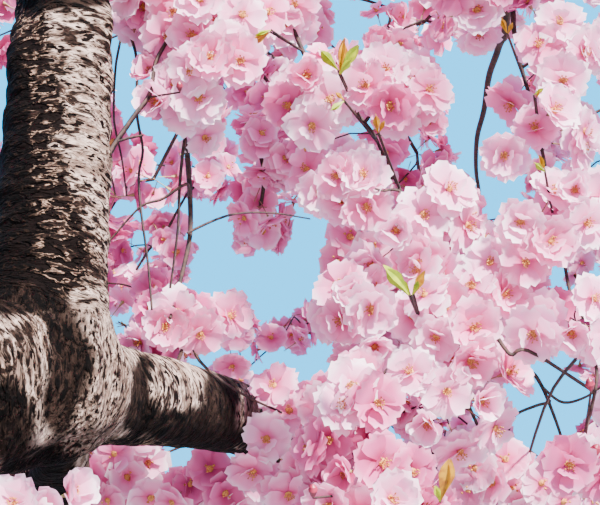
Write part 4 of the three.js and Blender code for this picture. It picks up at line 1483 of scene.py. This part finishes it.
# where that wood gets painted shade, where the view has shadow: the same, without the height
shades = {
    "under_leader": (10, 296, 44, 15, 4), "leader_low": (2, 250, 36, 60, 0),
    "leader_middle": (5, 175, 22, 50, 0), "leader_high": (18, 100, 12, 60, 0),
    "leader_top": (60, 0, 60, 10, 0), "fork": (70, 350, 20, 42, -8), "fork_low": (60, 405, 14, 30, 8),
    "knee_left": (8, 420, 22, 44, 0), "bough_under": (52, 482, 28, 32, 0), "ridge": (180, 352, 66, 10, 24),
    "ring": (142, 385, 9, 46, 6), "belly": (185, 428, 62, 17, 12), "end": (222, 395, 18, 34, 10),
}
# how dark the painted shade is and how ragged at its rims
shading = {"amount": 1.35, "ragged": 0.22, "scale": 60, "seed": 5.5, "within": 0.05, "from": 0.35,
           "over": 0.5}
# where it is worn into scales on the lit side too, and darkened with the same painted shade: the same, with
# how worn it is
wornAndShadedPlaces = {
    "leader_middle": (48, 205, 28, 95, 0, 0.5), "leader_low": (56, 258, 28, 40, 0, 0.55),
    "leader_high": (54, 95, 22, 45, 0, 0.34), "knee_left": (6, 405, 20, 46, 0, 0.4),
}


def lineFrames(points):
    # two ways across a line at each of its points, which don't twist along it
    along = unit(np.gradient(points, axis=0))
    across = [unit(np.cross(along[0], (0.3, 1.0, 0.1)))]
    for way in along[1:]:
        across.append(unit(across[-1] - way * (across[-1] @ way)))
    return np.array(across), np.cross(along, across)


cores = {"trunk": {"start": 0.0}}
for name, points in woodRoutes.items():
    count = max(coreLine["least"], round(lengthOf(points) / coreLine["step"]))
    core = {"points": smooth(points, count), "share": np.linspace(0, 1, count), "length": lengthOf(points)}
    limb = limbs.get(name)
    core["start"] = cores[limb["on"]]["start"] + limb["at"] * cores[limb["on"]]["length"] if limb else 0.0
    core["radii"] = mix(*woodRadii[name], core["share"])
    if limb:
        core["radii"] = core["radii"] * (1 + collar["swell"] * np.exp(-core["share"] / collar["fade"]))
    if name in knuckles:
        reach, least = knuckles[name]
        left = (1 - core["share"]) * core["length"] / reach
        core["radii"] = core["radii"] * mix(least, 1, np.sqrt(np.clip(left, 0, 1)))
    cores[name] = core
ground = cores["trunk"]
deeper = np.linspace(-groundDepth, 0, 5)[:-1]
ground["points"] = np.vstack([np.stack([deeper * 0, deeper * 0, deeper], axis=1), ground["points"]])
ground["radii"] = np.concatenate([np.full(len(deeper), trunk["radii"][0]), ground["radii"]])
ground["share"] = np.concatenate([deeper / trunk["length"], ground["share"]])
for core in cores.values():
    core["frames"] = lineFrames(core["points"])


def partOf(name, first, last):
    core = cores[name]
    low = core["share"][0] if first == 0 else first
    keep = np.flatnonzero((core["share"] >= low - 1e-9) & (core["share"] <= last + 1e-9))
    across, beside = core["frames"]
    return {"name": name, "points": core["points"][keep], "radii": core["radii"][keep],
            "share": core["share"][keep], "across": across[keep], "beside": beside[keep],
            "start": core["start"], "length": core["length"]}


def nearestPlace(spots, points):
    # where along a line each spot is nearest to it, counted in points
    best = np.full(len(spots), 1e9)
    place = np.zeros(len(spots))
    for i in range(len(points) - 1):
        step = points[i + 1] - points[i]
        t = np.clip(((spots - points[i]) @ step) / (step @ step), 0, 1)
        gap = ((spots - points[i] - t[:, None] * step) ** 2).sum(axis=1)
        nearer = gap < best
        best[nearer] = gap[nearer]
        place[nearer] = i + t[nearer]
    return place


def between(rows, place):
    i = np.minimum(place.astype(int), len(rows) - 2)
    t = place - i
    if rows.ndim > 1:
        t = t[:, None]
    return rows[i] * (1 - t) + rows[i + 1] * t


def girthAt(part, place, off):
    radius = between(part["radii"], place)
    if part["name"] == "trunk":
        rise = np.maximum(between(part["share"], place), 0)
        fade = np.exp(-rise * trunk["length"] / trunk["flareHeight"])
        angle = np.arctan2(off[:, 0], -off[:, 1])
        radius = radius * (1 + trunk["flare"] * fade)
        radius = radius * (1 + trunk["lobeDepth"] * np.cos(trunk["lobes"] * angle) * fade)
    return radius


def skinField(spots, parts, blend):
    # how far each spot lies outside the wood, the way straight out, the grain's place, and how forked it is
    gaps = []
    ways = []
    grains = []
    for part in parts:
        place = nearestPlace(spots, part["points"])
        off = spots - between(part["points"], place)
        reach = np.linalg.norm(off, axis=1)
        gaps.append(reach - girthAt(part, place, off))
        ways.append(off / np.maximum(reach, 1e-6)[:, None])
        run = part["start"] + between(part["share"], place) * part["length"]
        grains.append(np.stack([(off * between(part["across"], place)).sum(axis=1),
                                (off * between(part["beside"], place)).sum(axis=1), run], axis=1))
    gaps = np.array(gaps)
    nearestGap = gaps.min(axis=0)
    weights = np.exp(-(gaps - nearestGap) / blend)
    total = weights.sum(axis=0)
    gap = nearestGap - blend * np.log(total)
    weights = weights / total
    way = unit(np.einsum("pn,pnk->nk", weights, np.array(ways)))
    grain = np.einsum("pn,pnk->nk", weights, np.array(grains))
    return gap, way, grain, 1 - weights.max(axis=0)


def noiseAt(spots, scale, seed):
    # soft noise from -1 to 1 at each spot, with a scale for each direction
    places = spots * np.array(scale) + seed
    return np.array([noise.noise(p) for p in places.tolist()])


def reliefAt(spots, grain, strength):
    seeds = relief["seeds"]
    height = relief["lump"] * strength * noiseAt(spots, (relief["lumpScale"],) * 3, seeds[0])
    spacing = (relief["ridgeAcross"], relief["ridgeAcross"], relief["ridgeAlong"])
    height += relief["ridge"] * strength * noiseAt(grain, spacing, seeds[1])
    spacing = (relief["scaleAcross"], relief["scaleAcross"], relief["scaleAlong"])
    height += relief["scale"] * np.minimum(strength, 1) * noiseAt(grain, spacing, seeds[2])
    return height


def patchesAt(spots, ways, rows):
    # the sum of soft patches of skin, placed in the view and only where the skin faces it
    across, down, depth = pixels(spots)
    faces = np.clip((ways @ unit(-gaze)) * facing["times"] + facing["plus"], 0, 1)
    faces = faces * (depth > facing["depth"][0]) * (depth < facing["depth"][1])
    total = np.zeros(len(spots))
    for x, y, halfWidth, halfHeight, turn, amount in rows:
        c = math.cos(math.radians(turn))
        s = math.sin(math.radians(turn))
        dx = ((across - x) * c + (down - y) * s) / halfWidth
        dy = ((down - y) * c - (across - x) * s) / halfHeight
        total += amount * np.exp(-dx ** 2 - dy ** 2)
    return total * faces


def shadesAt(spots, ways):
    # painted shade where the view has shadow, with ragged rims
    dark = patchesAt(spots, ways, [(*place, shading["amount"]) for place in shades.values()])
    ragged = shading["ragged"] * noiseAt(spots, (shading["scale"],) * 3, shading["seed"])
    return np.clip((dark + ragged * (dark > shading["within"]) - shading["from"]) / shading["over"], 0, 1)


def wearAndShadeAt(ways):
    # 1 on the side away from the sun, which is worn rough and painted dark as shade, 0 on the other, and soft
    # between
    side = ways @ unit(np.array(wearAndShading["way"])) - wearAndShading["from"]
    side = np.clip(side / (wearAndShading["to"] - wearAndShading["from"]), 0, 1)
    return side * side * (3 - 2 * side)


def neighbourMean(spots, edges):
    count = np.bincount(edges.ravel(), minlength=len(spots))
    total = np.empty_like(spots)
    for axis in range(3):
        total[:, axis] = np.bincount(edges[:, 0], spots[edges[:, 1], axis], len(spots))
        total[:, axis] += np.bincount(edges[:, 1], spots[edges[:, 0], axis], len(spots))
    return total / np.maximum(count, 1)[:, None]


def skinPiece(name, skin):
    # one skin over all parts, drawn in to their wood, with the bark's relief
    parts = [partOf(limb, *shares) for limb, shares in skin["parts"].items()]
    rows = []
    for part in parts:
        off = np.tile(np.array([[0.0, -1.0, 0.0]]), (len(part["points"]), 1))
        girths = girthAt(part, np.arange(len(part["points"]), dtype=float) * 0.9999, off)
        rows.append({"points": part["points"], "girths": girths * skinning["larger"] + skinning["room"]})
    piece = tubes(name, rows, skinning["sides"], finishes["twigs"])
    shell = piece.modifiers.new("skin", "REMESH")
    shell.mode = "VOXEL"
    shell.voxel_size = skin["grain"]
    mesh = bpy.data.meshes.new_from_object(piece.evaluated_get(bpy.context.evaluated_depsgraph_get()))
    piece.modifiers.clear()
    piece.data = mesh
    count = len(mesh.vertices)
    spots = np.empty(count * 3)
    mesh.vertices.foreach_get("co", spots)
    spots = spots.reshape(count, 3)
    edges = np.empty(len(mesh.edges) * 2, np.int32)
    mesh.edges.foreach_get("vertices", edges)
    edges = edges.reshape(-1, 2)
    for turn in range(skinning["rounds"]):
        gap, way = skinField(spots, parts, skin["blend"])[:2]
        spots = spots - way * (gap - skin["proud"])[:, None]
        if turn < skinning["rounds"] - 1:
            slide = neighbourMean(spots, edges) - spots
            spots = spots + skinning["slide"] * (slide - way * (slide * way).sum(axis=1)[:, None])
    gap, way, grain, fork = skinField(spots, parts, skin["blend"])
    strength = np.where(grain[:, 2] < trunk["length"], relief["trunkLump"], 1.0)
    off, share = toLine(spots, woodRoutes[smoother["on"]])
    near = off < smoother["reach"] * mix(*woodRadii[smoother["on"]], share)
    strength = strength * np.where(near, np.interp(share, smoother["between"], (1, smoother["least"])), 1)
    height = reliefAt(spots, grain, strength) + patchesAt(spots, way, dents.values())
    # painted shade where the view has shadow
    dark = shadesAt(spots, way)
    spots = spots + way * height[:, None]
    mesh.vertices.foreach_set("co", spots.ravel())
    # worn scales and painted shade on the side away from the sun
    wornAndShaded = wearAndShadeAt(way) * skin["wearAndShading"] + patchesAt(spots, way, wornAndShadedPlaces.values())
    addValues(mesh, "grain", "FLOAT_VECTOR", grain)
    addValues(mesh, "hollow", "FLOAT", dark)
    addValues(mesh, "weather", "FLOAT", wornAndShaded)
    addValues(mesh, "fork", "FLOAT", fork)
    mesh.polygons.foreach_set("use_smooth", [True] * len(mesh.polygons))
    if "trunk" in skin["parts"]:
        cutLevel(piece)
    mesh.update()
    return piece


def cutLevel(piece):
    # the flat cut at the ground
    shape = bmesh.new()
    shape.from_mesh(piece.data)
    everything = shape.verts[:] + shape.edges[:] + shape.faces[:]
    bmesh.ops.bisect_plane(shape, geom=everything, plane_co=(0, 0, 0), plane_no=(0, 0, 1),
                           clear_inner=True)
    rim = [edge for edge in shape.edges if edge.is_boundary]
    bmesh.ops.contextual_create(shape, geom=rim)
    shape.to_mesh(piece.data)
    shape.free()


barkNodes = {"bark_trunk": ("trunk", "limb_left", "limb_front", "limb_right"),
             "bark_knee": ("limb_right", "leader", "bough_back_right", "bough_back")}
finishes["bark"] = barkFinish()
for name, skin in skins.items():
    piece = skinPiece(name, skin)
    piece.data.materials.clear()
    piece.data.materials.append(finishes["bark"])
    keepPiece(piece, barkNodes[name])
    report(name)


others = [name for name in limbs if name not in boughTubes["not"]]


def boughPiece():
    # the other boughs: rings of the same bark, each closed at its ends
    verts = []
    faces = []
    grains = []
    outs = []
    sides = boughTubes["sides"]
    angles = np.arange(sides) * 2 * math.pi / sides
    cosines = np.cos(angles)[None, :, None]
    sines = np.sin(angles)[None, :, None]
    for name in others:
        part = partOf(name, boughTubes["from"].get(name, 0), 1)
        rings = max(boughTubes["rings"], round(lengthOf(part["points"]) / boughTubes["step"]))
        place = np.linspace(0, len(part["points"]) - 1.001, rings)
        centre = between(part["points"], place)
        across = between(part["across"], place)
        beside = between(part["beside"], place)
        radius = between(part["radii"], place)
        run = part["start"] + between(part["share"], place) * part["length"]
        start = sum(len(v) for v in verts)
        out = across[:, None] * cosines + beside[:, None] * sines
        spots = (centre[:, None] + out * radius[:, None, None]).reshape(-1, 3)
        flat = np.stack([np.outer(radius, np.cos(angles)), np.outer(radius, np.sin(angles)),
                         np.repeat(run[:, None], sides, axis=1)], axis=2).reshape(-1, 3)
        strength = np.minimum(np.repeat(radius, sides) / boughTubes["full"], 1.0)
        height = reliefAt(spots, flat, strength) * boughTubes["relief"]
        spots = spots + out.reshape(-1, 3) * height[:, None]
        verts.append(spots)
        grains.append(flat)
        outs.append(out.reshape(-1, 3))
        for i in range(rings - 1):
            for j in range(sides):
                a = start + i * sides + j
                b = start + i * sides + (j + 1) % sides
                faces.append((a, b, b + sides, a + sides))
        faces.append(tuple(start + j for j in reversed(range(sides))))
        faces.append(tuple(start + (rings - 1) * sides + j for j in range(sides)))
    mesh = bpy.data.meshes.new("bark_boughs")
    mesh.from_pydata(np.vstack(verts).tolist(), [], faces)
    addValues(mesh, "grain", "FLOAT_VECTOR", np.vstack(grains))
    # these boughs have no painted shade
    addValues(mesh, "hollow", "FLOAT", np.zeros(len(mesh.vertices)))
    # worn scales and painted shade on the side away from the sun
    addValues(mesh, "weather", "FLOAT", boughTubes["wearAndShading"] * wearAndShadeAt(np.vstack(outs)))
    addValues(mesh, "fork", "FLOAT", np.zeros(len(mesh.vertices)))
    mesh.polygons.foreach_set("use_smooth", [len(face) == 4 for face in faces])
    mesh.materials.append(finishes["bark"])
    return newPiece("bark_boughs", mesh)


keepPiece(boughPiece(), others)
report("bark_boughs")

# floor, light and camera

# the floor lies a little below the tree's cut
stage = {"radius": 9, "height": -0.002, "sides": 96, "colour": (0.3, 0.29, 0.28), "scale": 2, "rough": 0.8}
corners = []
for angle in np.arange(stage["sides"]) * 2 * math.pi / stage["sides"]:
    corners.append((stage["radius"] * math.cos(angle), stage["radius"] * math.sin(angle), stage["height"]))
disc = bpy.data.meshes.new("floor")
disc.from_pydata(corners, [], [tuple(range(stage["sides"]))])
floor = newPiece("floor", disc)
floor.data.materials.append(plainFinish("floor", stage["colour"], stage["colour"], stage["scale"],
                                        stage["rough"]))

# a plain sky, blue where the photograph looks and pale above and below, a sun over the viewer's right
# shoulder and a wide soft fill
lighting = {"zenith": (1.5, 1.62, 1.8), "blue": (0.05, 1.5, 3.0), "level": (1.1, 1.3, 1.5),
            "blueFrom": (-0.05, 0.36), "blueTo": (0.62, 0.74)}
suns = {
    "sun": {"way": (-0.4, 0.74, -0.54), "strength": 26, "colour": (1.0, 0.94, 0.9), "angle": 4},
    "fill": {"way": (-0.1, 0.85, -0.2), "strength": 1.2, "colour": (1.0, 0.84, 0.84), "angle": 120},
}
world = bpy.data.worlds.new("sky")
world.use_nodes = True
bpy.context.scene.world = world
world.node_tree.nodes.clear()
sky = Tree(world.node_tree)
direction = sky.node("ShaderNodeTexCoord", out=0)
tall = sky.node("ShaderNodeSeparateXYZ", None, {"Vector": direction}, out=2)
shade = blendColour(sky, tall.above(*lighting["blueFrom"]), lighting["level"], lighting["blue"])
shade = blendColour(sky, tall.above(*lighting["blueTo"]), shade, lighting["zenith"])
backing = sky.node("ShaderNodeBackground", None, {"Color": shade})
sky.node("ShaderNodeOutputWorld", None, {"Surface": backing})
for name, values in suns.items():
    lamp = bpy.data.objects.new(name, bpy.data.lights.new(name, "SUN"))
    lamp.data.energy = values["strength"]
    lamp.data.color = values["colour"]
    lamp.data.angle = math.radians(values["angle"])
    lamp.rotation_euler = Vector(values["way"]).to_track_quat("-Z", "Y").to_euler()
    bpy.context.scene.collection.objects.link(lamp)

lens = bpy.data.objects.new("camera", bpy.data.cameras.new("camera"))
lens.data.lens = camera["lens"]
lens.data.sensor_width = camera["sensor"]
lens.data.clip_start = camera["clip"]
lens.location = eye
lens.rotation_euler = (math.radians(90 + outlook["rise"]), 0, 0)
bpy.context.scene.collection.objects.link(lens)
bpy.context.scene.camera = lens

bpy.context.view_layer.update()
report("done")
